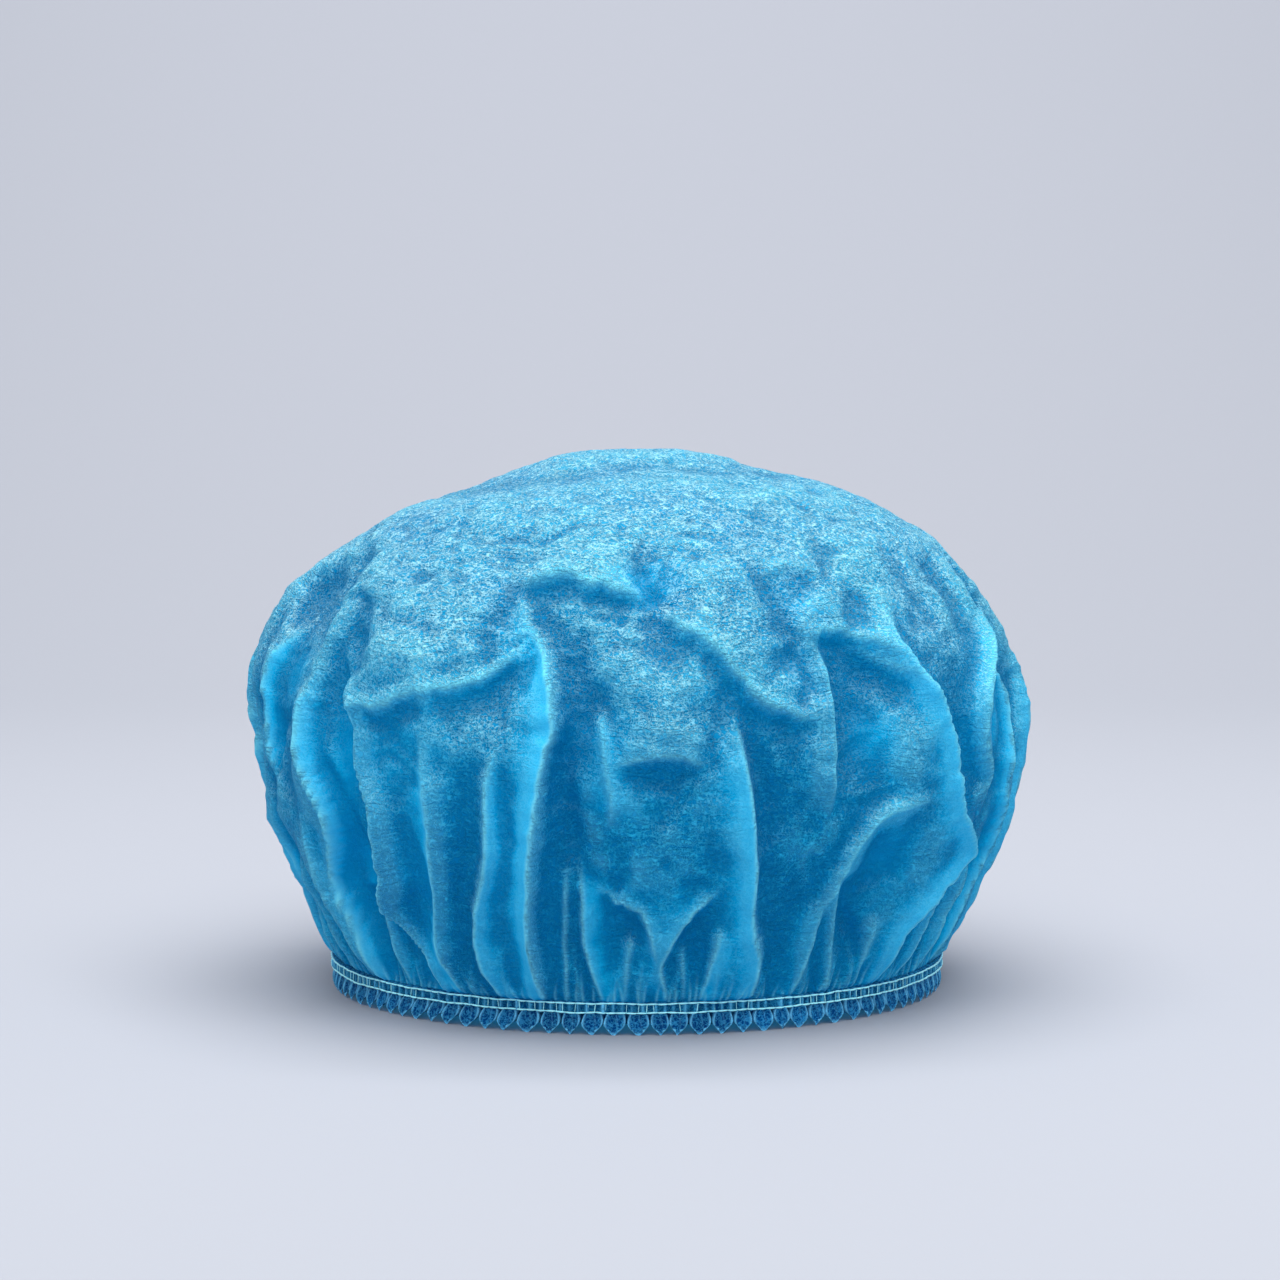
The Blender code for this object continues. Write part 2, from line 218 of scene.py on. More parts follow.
# what the plain puff still lacks at its sides, of the same kind
OUTLINE_SWELLS = (
    (-88, 128, 70, 24, -2.2, 0.0),
    (-60, 149, 40, 16, -2.8, 0.0),
    (-88, 102, 55, 16, 1.0, 0.0),
    (-88, 92, 55, 14, 1.8, 0.0),
    (-88, 145, 44, 12, -2.2, 0.0),
    (-88, 45, 60, 9, -2.2, 0.0),
    (88, 142, 60, 20, 0.4, 0.0),
    (60, 150, 40, 14, -2.4, 0.0),
    (0, 154, 62, 62, 1.3, 0.0),
    (-50, 151, 34, 16, -0.8, 0.0),
    (-88, 32, 75, 24, -7.0, 0.0),
    (88, 32, 75, 24, -4.8, 0.0),
    (-88, 68, 60, 18, -3.6, 0.0),
    (-88, 54, 60, 12, 0.8, 0.0),
    (88, 72, 60, 20, -3.2, 0.0),
    (88, 92, 60, 26, -2.0, 0.0),
)
print("folds seen from the front:", len(FRONT_FOLDS))

# %% [markdown]
# The picture shows only the front. The sides and the back get folds of the same kind and sizes,
# drawn by a seeded random walk, so that each run makes the same cap.


# %% Folds round the sides and back
def far_folds():
    """Hanging crests, shoulders and hollows for the part of the cap that the picture hides."""
    chance = random.Random(11)
    folds = []
    swells = []
    azimuth = 84.0
    while azimuth < 280.0:
        high = chance.choice((58, 72, 88, 100, 112)) + chance.uniform(-5, 5)
        middle = azimuth + chance.uniform(-4, 4)
        head = middle + chance.uniform(-5, 5)
        points = (
            (head, high), ((head + middle) / 2 + chance.uniform(-2, 2), high * 0.75 + 3),
            (middle, high * 0.5 + 4), (azimuth + chance.uniform(-1, 1), 26), (azimuth, 10),
        )
        steep = chance.uniform(2.2, 3.0)
        easy = chance.uniform(5.5, 8.5)
        right = chance.random() < 0.5
        sides = (steep, easy) if right else (easy, steep)
        glows = (0.0, 0.8) if right else (0.8, 0.0)
        folds.append((points, chance.uniform(3.0, 4.8), *sides, *glows))
        if chance.random() < 0.5:
            foot = azimuth + chance.uniform(3.5, 6.0)
            points = ((foot + chance.uniform(-2, 2), 36 + chance.uniform(-6, 8)), (foot, 10))
            folds.append((points, chance.uniform(1.8, 2.8), 3.0, 3.0, 0.3, 0.3))
        if chance.random() < 0.6:
            swells.append((azimuth + 5, high * 0.62, 6, 16, chance.uniform(-3.5, -1.5), 0.9))
        azimuth += chance.uniform(7.5, 13.0)
    for start, height in ((104, 106), (132, 92), (160, 118), (190, 96), (222, 112)):
        drop = chance.uniform(-8, 8)
        points = ((start, height), (start + 8, height + 3), (start + 17, height + 2 + drop / 2), (start + 25, height + drop))
        folds.append((points, chance.uniform(3.6, 5.0), 10.0, 2.8, 0.0, 0.7))
        swells.append((start + 12, height - 18, 15, 13, -3.2, 0.3))
        swells.append((start + 12, height + 13, 18, 10, 2.0, 0.0))
    return tuple(folds), tuple(swells)


FAR_FOLDS, FAR_SWELLS = far_folds()
print("folds round the back:", len(FAR_FOLDS))

# %% [markdown]
# ## Drawing a fold into the grid
#
# For each fold the distance from the line to every grid point near it is measured along the cloth.
# The crest falls off with that distance on its own width each side. On a steep side it dips below
# the cloth before it comes back, which makes the shaded hollow beside the edge.

# %% Distance to a line on the cloth
MILLI = 0.001
STEEP = 3.5
HOLLOW = 0.85
HOLLOW_WIDTH = 3.8
CREST_ROUND = 0.45
CREST_GAIN = 1.30
REACH = 34.0
grid_length = rows / MILLI
grid_radius = np.maximum(row_radius / MILLI, 6.0)


def smooth(share):
    """0 up to 1 with a soft start and end."""
    share = np.clip(share, 0.0, 1.0)
    return share * share * (3.0 - 2.0 * share)


def apart(azimuth, other):
    """The turn between two azimuths, from -180 to 180 degrees."""
    return (other - azimuth + 180.0) % 360.0 - 180.0


def rounded_line(points):
    """The line through the points with three soft steps between each two, a little ragged."""
    chance = random.Random(int(points[0][0] * 7 + points[0][1] * 13))
    knots = [points[0], *points, points[-1]]
    line = []
    for a, b, c, d in zip(knots, knots[1:], knots[2:], knots[3:]):
        for t in (0.0, 0.25, 0.5, 0.75):
            line.append([
                0.5 * (2 * q + (r - p) * t + (2 * p - 5 * q + 4 * r - s) * t * t + (3 * q - p - 3 * r + s) * t ** 3)
                + chance.uniform(-stray, stray)
                for p, q, r, s, stray in zip(a, b, c, d, (0.12, 0.8))
            ])
    line.append(list(points[-1]))
    return np.array(line)


def measure_line(points):
    """Rows, columns, distance in mm, side (1 or -1) and share along, near a line on the cloth."""
    line = rounded_line(points)
    lengths = np.interp(line[:, 1] * MILLI, profile_height, profile_length) / MILLI
    middle = line[:, 0].mean()
    near_rows = np.where((grid_length > lengths.min() - REACH) & (grid_length < lengths.max() + REACH))[0]
    half = np.abs(line[:, 0] - middle).max() + math.degrees(REACH / 100.0)
    away = apart(middle, azimuths)
    near_columns = np.where(np.abs(away) < half)[0]
    radius = grid_radius[near_rows][:, None]
    along_round = np.radians(away[near_columns])[None, :] * radius
    up = grid_length[near_rows][:, None]
    best = np.full(along_round.shape, 1e9)
    side = np.ones(along_round.shape)
    share = np.zeros(along_round.shape)
    whole = np.concatenate([[0.0], np.cumsum(np.hypot(np.diff(line[:, 0]) * 1.9, np.diff(lengths)))])
    for number in range(len(line) - 1):
        start_u = math.radians(line[number, 0] - middle) * radius
        step_u = math.radians(line[number + 1, 0] - line[number, 0]) * radius
        step_v = lengths[number + 1] - lengths[number]
        du = along_round - start_u
        dv = up - lengths[number]
        t = np.clip((du * step_u + dv * step_v) / (step_u ** 2 + step_v ** 2 + 1e-9), 0.0, 1.0)
        distance = np.hypot(du - t * step_u, dv - t * step_v)
        closer = distance < best
        best = np.where(closer, distance, best)
        side = np.where(closer, np.sign(step_u * dv - step_v * du), side)
        here = (whole[number] + t * (whole[number + 1] - whole[number])) / whole[-1]
        share = np.where(closer, here, share)
    return near_rows, near_columns, best, side, share


# %% Crest, glow and swell of one fold
def add_fold(fold, rise, glow, edge):
    """Adds a fold to the grid's rise in mm, the painted glow of light through its sides and the painted highlight along
    its crest.
    """
    points, crest, plus, minus, glow_plus, glow_minus = fold
    near_rows, near_columns, distance, side, share = measure_line(points)
    width = np.where(side > 0, plus, minus)
    reach = np.sqrt(distance ** 2 + CREST_ROUND ** 2) - CREST_ROUND
    shape = np.exp(-reach / width)
    dip = HOLLOW * (np.exp(-reach / (HOLLOW_WIDTH * width)) - shape)
    shape = shape - np.where(width < STEEP, dip, 0.0) * (1.0 if crest > 0 else 0.0)
    runs_down = points[-1][1] <= 12
    head = smooth(share / 0.28)
    foot = 1.0 if runs_down else smooth((1.0 - share) / 0.28)
    block = np.ix_(near_rows, near_columns)
    rise[block] += CREST_GAIN * crest * shape * head * foot
    # painted glow of light coming through the cloth beside the fold; below it a painted highlight along the crest
    light = np.where(side > 0, glow_plus, glow_minus) * np.exp(-(distance / 8.5) ** 2)
    glow[block] = np.maximum(glow[block], light * head * foot)
    if crest > 0:
        line = np.exp(-(distance / 0.70) ** 2) * head * foot * min(1.0, crest / 3.0)
        edge[block] = np.maximum(edge[block], line)


def add_swell(swell, rise, glow):
    """Adds a soft swell or hollow, with the painted glow of light through it."""
    azimuth, height, half_width, half_height, amount, shine = swell
    length = np.interp(height * MILLI, profile_height, profile_length) / MILLI
    u = np.radians(apart(azimuth, azimuths))[None, :] * grid_radius[:, None] / half_width
    v = (grid_length[:, None] - length) / half_height
    spot = np.exp(-(u ** 2 + v ** 2))
    rise += amount * spot
    # painted glow of light coming through the cloth
    np.maximum(glow, shine * spot, out=glow)


# %% Draw all the folds
rise = np.zeros((len(rows), COLUMNS))
glow = np.zeros_like(rise)
edge = np.zeros_like(rise)
for fold in FRONT_FOLDS + FAR_FOLDS:
    add_fold(fold, rise, glow, edge)
for swell in FRONT_SWELLS + FAR_SWELLS:
    add_swell(swell, rise, glow)
print("folds stand out up to", round(rise.max(), 1), "mm and go in up to", round(-rise.min(), 1), "mm")

# %% [markdown]
# ## Gathers at the band
#
# Where the wide sheet meets the short elastic the cloth is gathered: small pipes a centimetre
# apart run up a few centimetres, and between them the stitches pull up pleats a few millimetres
# wide. Both are added as short crests of random place, length and height.

# %% Gathers and pleats
PLEATS = 204


def add_gathers(rise, edge, count, reach, height, width, shine, seed):
    """Short crests that stand on the band and die out upwards."""
    chance = random.Random(seed)
    for number in range(count):
        azimuth = 360.0 * (number + chance.uniform(-0.32, 0.32)) / count
        top = reach * chance.uniform(0.5, 1.5)
        crest = height * chance.uniform(0.5, 1.3)
        lean = chance.uniform(-2.0, 2.0)
        low = np.where(grid_length < top * 1.05)[0]
        up = grid_length[low][:, None] / top
        centre = azimuth + lean * up * up
        away = np.abs(np.radians(apart(azimuth, azimuths))[None, :] - np.radians(centre - azimuth))
        distance = away * grid_radius[low][:, None]
        line = np.exp(-(np.sqrt(distance ** 2 + 0.04) - 0.2) / width)
        fade = (1.0 - smooth(up)) * (0.3 + 0.7 * smooth(grid_length[low] / 3.0))[:, None]
        rise[low] += crest * line * fade
        # painted highlight along the crest of each pleat, strongest at the band
        edge[low] = np.maximum(edge[low], shine * np.exp(-(distance / 0.45) ** 2) * (1.0 - smooth(up)))


near_band = np.exp(-(grid_length / 60.0) ** 2)[:, None]
rise -= near_band * rise.mean(axis=1, keepdims=True)
for outline_swell in OUTLINE_SWELLS:
    add_swell(outline_swell, rise, glow)
rise *= (0.35 * smooth(grid_length / 3.0) + 0.65 * smooth(grid_length / 24.0))[:, None]
drawn = rise.copy()
add_gathers(rise, edge, 62, 24.0, 1.9, 1.7, 0.30, 5)
add_gathers(rise, edge, PLEATS, 10.0, 1.2, 0.62, 0.95, 6)
rise -= 1.7 * (1.0 - smooth(grid_length / 11.0))[:, None]
print("pleats at the band:", PLEATS)

# %% [markdown]
# ## Crumples
#
# Between its folds the thin sheet is crumpled all over: level wrinkles on the dome and small dents
# everywhere. They come from smooth noise read at the places of the grid. Its folded form, one
# minus the size of the noise, makes lines with a sharp top.


# %% Smooth noise and blur on the grid
def lattice_noise(places, size, seed):
    """Smooth noise from -1 to 1 at places in mm, from a lattice of random numbers."""
    lattice = np.random.default_rng(seed).uniform(-1.0, 1.0, (32, 32, 32))
    scaled = places / size
    cell = np.floor(scaled).astype(int)
    part = smooth(scaled - cell)
    total = np.zeros(places.shape[:-1])
    for corner in np.ndindex(2, 2, 2):
        weight = np.prod(np.where(np.array(corner) == 1, part, 1.0 - part), axis=-1)
        x, y, z = ((cell[..., axis] + corner[axis]) % 32 for axis in range(3))
        total += weight * lattice[x, y, z]
    return total


def soften(field, columns, rows_up):
    """The field blurred by so many columns round the cap and rows up it."""
    waves = np.fft.rfftfreq(COLUMNS)
    fade = np.exp(-2.0 * (np.pi * waves * columns) ** 2)
    shape = [1] * field.ndim
    shape[1] = len(waves)
    level = np.fft.irfft(np.fft.rfft(field, axis=1) * fade.reshape(shape), n=COLUMNS, axis=1)
    reach = int(3 * rows_up) + 1
    taps = np.exp(-0.5 * (np.arange(-reach, reach + 1) / rows_up) ** 2)
    wide = np.pad(level, [(reach, reach)] + [(0, 0)] * (field.ndim - 1), mode="edge")
    parts = (tap * wide[start:start + len(field)] for start, tap in enumerate(taps / taps.sum()))
    return sum(parts)


# %% Add the crumples
TOP_CALM = 1.0 - 0.75 * smooth((row_height / MILLI - 138.0) / 12.0)[:, None]


def puff_places():
    """The grid points in mm on the puff without folds."""
    radians = np.radians(azimuths)[None, :]
    radius = row_radius[:, None] / MILLI
    return np.stack([radius * np.sin(radians), -radius * np.cos(radians), row_height[:, None] / MILLI + 0.0 * radians], axis=-1)


def crumples():
    """Level wrinkles, strongest on the dome, and dents of all directions, in mm."""
    places = puff_places()
    wobble = 5.0 * lattice_noise(places, 13.0, 31)
    squeezed = np.stack([places[..., 0] * 0.22, places[..., 1] * 0.22, places[..., 2] + wobble], axis=-1)
    wrinkles = 1.0 - 2.0 * np.abs(lattice_noise(squeezed, 3.4, 32))
    dents = 1.0 - 2.0 * np.abs(lattice_noise(places + wobble[..., None], 7.0, 33))
    creases = 1.0 - 2.0 * np.abs(lattice_noise(places + 0.6 * wobble[..., None], 3.8, 36))
    broad = lattice_noise(places, 19.0, 34)
    dome = smooth((row_height / MILLI - 84.0) / 30.0)[:, None]
    patches = smooth(0.5 + lattice_noise(places, 24.0, 35))
    above_band = smooth(grid_length / 30.0)[:, None]
    small = wrinkles * (0.14 + 0.38 * dome * patches) + creases * (0.14 + 0.10 * patches)
    return above_band * (small + TOP_CALM * (dents * (0.40 + 0.04 * dome) + 0.60 * broad))


crumpled = crumples()
rise += crumpled
print("crumples stand out by", round(float(crumpled.std()), 2), "mm on average")

# %% [markdown]
# ## Relaxing the cloth
#
# Drawn folds alone look carved. A cloth simulation on a coarser copy of the grid lets the sheet
# settle: its fibres are made a little longer than the room they have, a light pressure keeps it
# puffed, and it buckles into the small dents that real non-woven shows. How far a point may move
# is capped, and what moved is carried back to the fine grid.


# %% Places of the grid points
def place_grid(rise_mm):
    """Points of the grid, moved along the puff's outward normal."""
    out = rise_mm * MILLI
    off_band = smooth(grid_length / 14.0)[:, None]
    radius = row_radius[:, None] + out * slope_height[:, None]
    height = row_height[:, None] - out * slope_radius[:, None] * off_band
    radians = np.radians(azimuths)[None, :]
    return np.stack([radius * np.sin(radians), -radius * np.cos(radians), height], axis=-1)


def sheet_faces(row_steps, columns):
    """Faces of a grid whose rows step round by 1, 2, 4 or 8 columns, with triangles between."""
    faces = []
    for row in range(len(row_steps) - 1):
        low, high = row_steps[row], row_steps[row + 1]
        for column in range(0, columns, high):
            a = row * columns + column
            b = row * columns + (column + high) % columns
            c = b + columns
            d = a + columns
            if low == high:
                faces.append((a, b, c, d))
            else:
                m = row * columns + (column + low) % columns
                faces.append((a, m, d))
                faces.append((m, c, d))
                faces.append((m, b, c))
    return faces


def sheet_mesh(name, points, row_steps, top):
    """A mesh of the grid with its unused points left out, and a last point at the top."""
    count, columns = points.shape[:2]
    faces = sheet_faces(row_steps, columns)
    last = (count - 1) * columns
    ring = list(range(0, columns, row_steps[-1]))
    summit = count * columns
    faces += [(last + a, last + b, summit) for a, b in zip(ring, ring[1:] + ring[:1])]
    used = np.unique(np.concatenate([np.array(face) for face in faces]))
    number = np.full(summit + 1, -1)
    number[used] = np.arange(len(used))
    corners = np.concatenate([points.reshape(-1, 3), [top]])[used]
    mesh = bpy.data.meshes.new(name)
    mesh.from_pydata(corners.tolist(), [], [[int(number[i]) for i in face] for face in faces])
    return mesh, used[:-1]


# %% Let the coarse sheet settle
COARSE_COLUMNS = 4
COARSE_ROWS = 2
SPARE_CLOTH = 0.050
LARGEST_MOVE = 0.0060
SETTLE_FRAMES = 16
BUCKLE_GAIN = 1.1


def settle(points):
    """How far each grid point moves when the sheet relaxes."""
    coarse = points[::COARSE_ROWS, ::COARSE_COLUMNS]
    count, columns = coarse.shape[:2]
    dense = [2 if h > 0.85 * PROFILE else 1 for h in rows[::COARSE_ROWS]]
    mesh, used = sheet_mesh("settling", coarse, dense, (0.0, 0.0, CAP_HEIGHT))
    piece = bpy.data.objects.new("settling", mesh)
    bpy.context.scene.collection.objects.link(piece)
    pins = piece.vertex_groups.new(name="pins")
    held_rows = 3 * columns
    for index, grid_index in enumerate(used):
        weight = 1.0 if grid_index < held_rows else 0.02
        pins.add([index], weight, "REPLACE")
    cloth = piece.modifiers.new("cloth", "CLOTH")
    settings = cloth.settings
    settings.quality = 6
    settings.mass = 0.15
    settings.tension_stiffness = 20.0
    settings.compression_stiffness = 20.0
    settings.shear_stiffness = 8.0
    settings.bending_stiffness = 0.6
    settings.air_damping = 1.5
    settings.shrink_min = -SPARE_CLOTH
    settings.vertex_group_mass = "pins"
    settings.pin_stiffness = 1.0
    settings.use_pressure = True
    settings.uniform_pressure_force = 1.2
    settings.effector_weights.gravity = 0.0
    cloth.collision_settings.use_collision = False
    scene = bpy.context.scene
    scene.frame_start = 1
    scene.frame_end = SETTLE_FRAMES
    cloth.point_cache.frame_start = 1
    cloth.point_cache.frame_end = SETTLE_FRAMES
    for frame_number in range(1, SETTLE_FRAMES + 1):
        scene.frame_set(frame_number)
    result = piece.evaluated_get(bpy.context.evaluated_depsgraph_get())
    after = np.empty(len(mesh.vertices) * 3)
    result.data.vertices.foreach_get("co", after)
    before = np.empty(len(mesh.vertices) * 3)
    mesh.vertices.foreach_get("co", before)
    moved = (after - before).reshape(-1, 3)[:-1]
    scene.frame_set(1)
    bpy.data.objects.remove(piece)
    moves = np.zeros((count * columns, 3))
    moves[used] = moved
    moves = moves.reshape(count, columns, 3)
    for row, step in enumerate(dense):
        if step == 2:
            after_row = np.roll(moves[row, ::2], -1, axis=0)
            moves[row, 1::2] = 0.5 * (moves[row, ::2] + after_row)
    size = np.linalg.norm(moves, axis=-1, keepdims=True)
    print("the sheet settled by up to", round(float(size.max()) * 1000, 1), "mm, mean", round(float(size.mean()) * 1000, 2))
    return moves * np.minimum(1.0, LARGEST_MOVE / np.maximum(size, 1e-9))


def spread_moves(moves, row_count):
    """Coarse moves carried to the fine grid, smoothly in both directions."""
    count = moves.shape[0]
    wide = np.empty((count, COLUMNS, 3))
    for step in range(COARSE_COLUMNS):
        t = step / COARSE_COLUMNS
        p, q, r, s = (np.roll(moves, shift, axis=1) for shift in (1, 0, -1, -2))
        wide[:, step::COARSE_COLUMNS] = 0.5 * (
            2 * q + (r - p) * t + (2 * p - 5 * q + 4 * r - s) * t * t + (3 * q - p - 3 * r + s) * t ** 3
        )
    place = np.minimum(np.arange(row_count) / COARSE_ROWS, count - 1)
    low = np.minimum(np.floor(place).astype(int), count - 2)
    part = (place - low)[:, None, None]
    return wide[low] * (1.0 - part) + wide[low + 1] * part


def outward():
    """The puff's outward direction at every grid point."""
    radians = np.radians(azimuths)[None, :]
    level = slope_height[:, None]
    up = -slope_radius[:, None] + 0.0 * radians
    return np.stack([level * np.sin(radians), -level * np.cos(radians), up], axis=-1)


points = place_grid(rise)
relief = rise.copy()
moves = spread_moves(settle(place_grid(0.7 * drawn)), len(rows))
buckles = BUCKLE_GAIN * TOP_CALM[..., None] * (soften(moves, 3.0, 1.6) - soften(moves, 64.0, 14.0))
points = points + buckles
relief = relief + (buckles * outward()).sum(axis=-1) / MILLI
print("the buckles stand out by", round(float(np.linalg.norm(buckles, axis=-1).mean()) * 1000, 2), "mm on average")

# %% [markdown]
# The relief also tells where the light falls. Two blurred copies of it give the narrow ridges and the wide
# hollows, which the material reads as attributes to paint highlights on ridges and swells and to paint
# shade in grooves, in hollows and along the band.

# %% Ridges and hollows
near_relief = soften(relief, 5.0, 2.2)
wide_relief = soften(relief, 44.0, 12.0)
fine_relief = relief - soften(relief, 9.0, 3.5)
# painted highlight on the narrow ridges and painted shade in the narrow grooves
ridge = np.clip(fine_relief / 0.7, 0.0, 1.0)
groove = np.clip(-fine_relief / 0.6, 0.0, 1.0)
# painted shade in the wide hollows and along the band, where the gathers shade the cloth; painted highlight on the
# swells
band_shade = 0.85 * (1.0 - smooth(grid_length / 9.0))[:, None]
hollow = np.clip((wide_relief - near_relief) / 3.2 + band_shade, 0.0, 1.0)
swell = np.clip((near_relief - wide_relief) / 5.5, 0.0, 1.0)
print("hollow share of the sheet:", round(float((hollow > 0.3).mean()), 2))

# %% The crown's final mesh
ROW_STEPS = [1 if s < 0.014 else 2 if s < 0.165 else 4 if s < 0.200 else 8 for s in rows]


def store(mesh, name, values):
    """Keeps one number for each corner of the mesh, for its material to read."""
    layer = mesh.attributes.new(name, "FLOAT", "POINT")
    layer.data.foreach_set("value", np.asarray(values, dtype=np.float32))


def store_uv(mesh, name, across, up):
    """Keeps a UV map from two numbers for each vertex."""
    corners = np.empty(len(mesh.loops), dtype=np.int32)
    mesh.loops.foreach_get("vertex_index", corners)
    layer = mesh.uv_layers.new(name=name)
    layer.data.foreach_set("uv", np.stack([across[corners], up[corners]], axis=-1).ravel())


def make_crown():
    """The crown as one open sheet, with its flat cut kept as its UV map."""
    top = tuple(points[-1].mean(axis=0) + np.array([0.0, 0.0, 0.0001]))
    mesh, used = sheet_mesh("crown_sheet", points, ROW_STEPS, top)
    fields = {"glow": glow, "edge": edge, "ridge": ridge, "groove": groove, "hollow": hollow, "swell": swell}
    for name, field in fields.items():
        store(mesh, name, np.append(field.ravel()[used], field[-1].mean()))
    from_top = np.repeat(PROFILE - rows, COLUMNS)[used]
    around = np.tile(np.radians(azimuths), len(rows))[used]
    across = np.append(0.5 + from_top * np.sin(around), 0.5)
    up = np.append(0.5 - from_top * np.cos(around), 0.5)
    store_uv(mesh, "flat_cut", across, up)
    mesh.shade_smooth()
    normals = np.empty(len(mesh.vertices) * 3)
    mesh.vertices.foreach_get("normal", normals)
    # painted light: how much the cloth faces up, which the material uses to paint the top paler, as if lit from above
    store(mesh, "upward", np.clip(0.15 + 1.05 * normals[2::3], 0.0, 1.0))
    piece = bpy.data.objects.new("crown_sheet", mesh)
    bpy.context.scene.collection.objects.link(piece)
    return piece


crown = make_crown()
area = sum(polygon.area for polygon in crown.data.polygons)
triangles = sum(len(polygon.vertices) - 2 for polygon in crown.data.polygons)
print("crown:", triangles, "triangles,", round(area, 4), "m2 of cloth")

# %% [markdown]
# ## Materials
#
# Non-woven cloth is a mat of short fibres pressed together. Light goes through it, so each cloth
# material mixes a matt surface with a translucent one. A node group draws the fibres, and the
# materials share it, each with its own strength.

# %% Node helpers
def link(tree, source, target):
    """Joins two sockets."""
    tree.links.new(source, target)


def add_node(tree, kind, inputs=None, **settings):
    """A node with its settings and inputs, where an input is a value or another socket."""
    node = tree.nodes.new(kind)
    for name, value in settings.items():
        setattr(node, name, value)
    for key, value in (inputs or {}).items():
        socket = node.inputs[key]
        if isinstance(value, bpy.types.NodeSocket):
            link(tree, value, socket)
        else:
            socket.default_value = value
    return node


def math_node(tree, operation, a, b=0.0, c=0.0, clamp=False):
    """The result of one sum."""
    node = add_node(tree, "ShaderNodeMath", {0: a, 1: b, 2: c}, operation=operation, use_clamp=clamp)
    return node.outputs[0]


def shader_group(name, inputs, outputs):
    """An empty shader group with named inputs and outputs."""
    tree = bpy.data.node_groups.new(name, "ShaderNodeTree")
    for title, start in inputs:
        socket = tree.interface.new_socket(name=title, in_out="INPUT", socket_type="NodeSocketFloat")
        socket.default_value = start
    for title in outputs:
        tree.interface.new_socket(name=title, in_out="OUTPUT", socket_type="NodeSocketFloat")
    return tree, tree.nodes.new("NodeGroupInput"), tree.nodes.new("NodeGroupOutput")


# %% The fibres of non-woven cloth
def fibre_group():
    """Short curled fibres as a mask and a height."""
    tree, given, result = shader_group(
        "nonwoven_fibres", (("Fibres per metre", 1100.0), ("Thinness", 0.05)), ("Fibres", "Height", "Clouds")
    )
    place = add_node(tree, "ShaderNodeTexCoord").outputs["Object"]
    strands = []
    for number, share in enumerate((1.0, 0.62)):
        moved = add_node(tree, "ShaderNodeMapping", {"Vector": place, "Location": (number * 0.37, number * 0.11, 0.0)})
        scale = math_node(tree, "MULTIPLY", given.outputs["Fibres per metre"], share)
        noise = add_node(
            tree, "ShaderNodeTexNoise",
            {"Vector": moved.outputs[0], "Scale": scale, "Detail": 1.5, "Roughness": 0.5, "Distortion": 0.3},
        )
        away = math_node(tree, "ABSOLUTE", math_node(tree, "SUBTRACT", noise.outputs[0], 0.5))
        strands.append(math_node(tree, "SUBTRACT", 1.0, math_node(tree, "DIVIDE", away, given.outputs["Thinness"]), clamp=True))
    both = math_node(tree, "MAXIMUM", strands[0], math_node(tree, "MULTIPLY", strands[1], 0.8))
    clouds = add_node(tree, "ShaderNodeTexNoise", {"Vector": place, "Scale": 34.0, "Detail": 3.0, "Roughness": 0.55})
    link(tree, both, result.inputs["Fibres"])
    link(tree, math_node(tree, "MULTIPLY", both, 1.0), result.inputs["Height"])
    link(tree, clouds.outputs[0], result.inputs["Clouds"])
    return tree


def crinkle_group():
    """Fine wavy crinkles that run level round the cap."""
    tree, given, result = shader_group("level_crinkles", (("Lines per metre", 420.0),), ("Crinkle",))
    place = add_node(tree, "ShaderNodeTexCoord").outputs["Object"]
    wobble = add_node(tree, "ShaderNodeTexNoise", {"Vector": place, "Scale": 46.0, "Detail": 2.0})
    shift = math_node(tree, "MULTIPLY", math_node(tree, "SUBTRACT", wobble.outputs[0], 0.5), 0.010)
    parts = add_node(tree, "ShaderNodeSeparateXYZ", {0: place})
    level = math_node(tree, "ADD", parts.outputs[2], shift)
    flat = add_node(
        tree, "ShaderNodeCombineXYZ",
        {0: math_node(tree, "MULTIPLY", parts.outputs[0], 0.22), 1: math_node(tree, "MULTIPLY", parts.outputs[1], 0.22), 2: level},
    )
    noise = add_node(
        tree, "ShaderNodeTexNoise",
        {"Vector": flat.outputs[0], "Scale": given.outputs["Lines per metre"], "Detail": 2.0, "Roughness": 0.55},
    )
    away = math_node(tree, "ABSOLUTE", math_node(tree, "SUBTRACT", noise.outputs[0], 0.5))
    link(tree, math_node(tree, "SUBTRACT", 1.0, math_node(tree, "MULTIPLY", away, 14.0), clamp=True), result.inputs["Crinkle"])
    return tree


FIBRES = fibre_group()
CRINKLES = crinkle_group()


# %% Cloth materials
def use_group(tree, group, values):
    """A copy of a group in a material, with its own values."""
    node = tree.nodes.new("ShaderNodeGroup")
    node.node_tree = group
    for name, value in values.items():
        node.inputs[name].default_value = value
    return node


def mix_color(tree, share, first, second, blend="MIX"):
    """Two colours mixed by a share."""
    node = add_node(tree, "ShaderNodeMix", data_type="RGBA", blend_type=blend, clamp_factor=True)
    for socket, value in ((node.inputs[0], share), (node.inputs[6], first), (node.inputs[7], second)):
        if isinstance(value, bpy.types.NodeSocket):
            link(tree, value, socket)
        else:
            socket.default_value = value if not isinstance(value, tuple) else (*value, 1.0)
    return node.outputs[2]


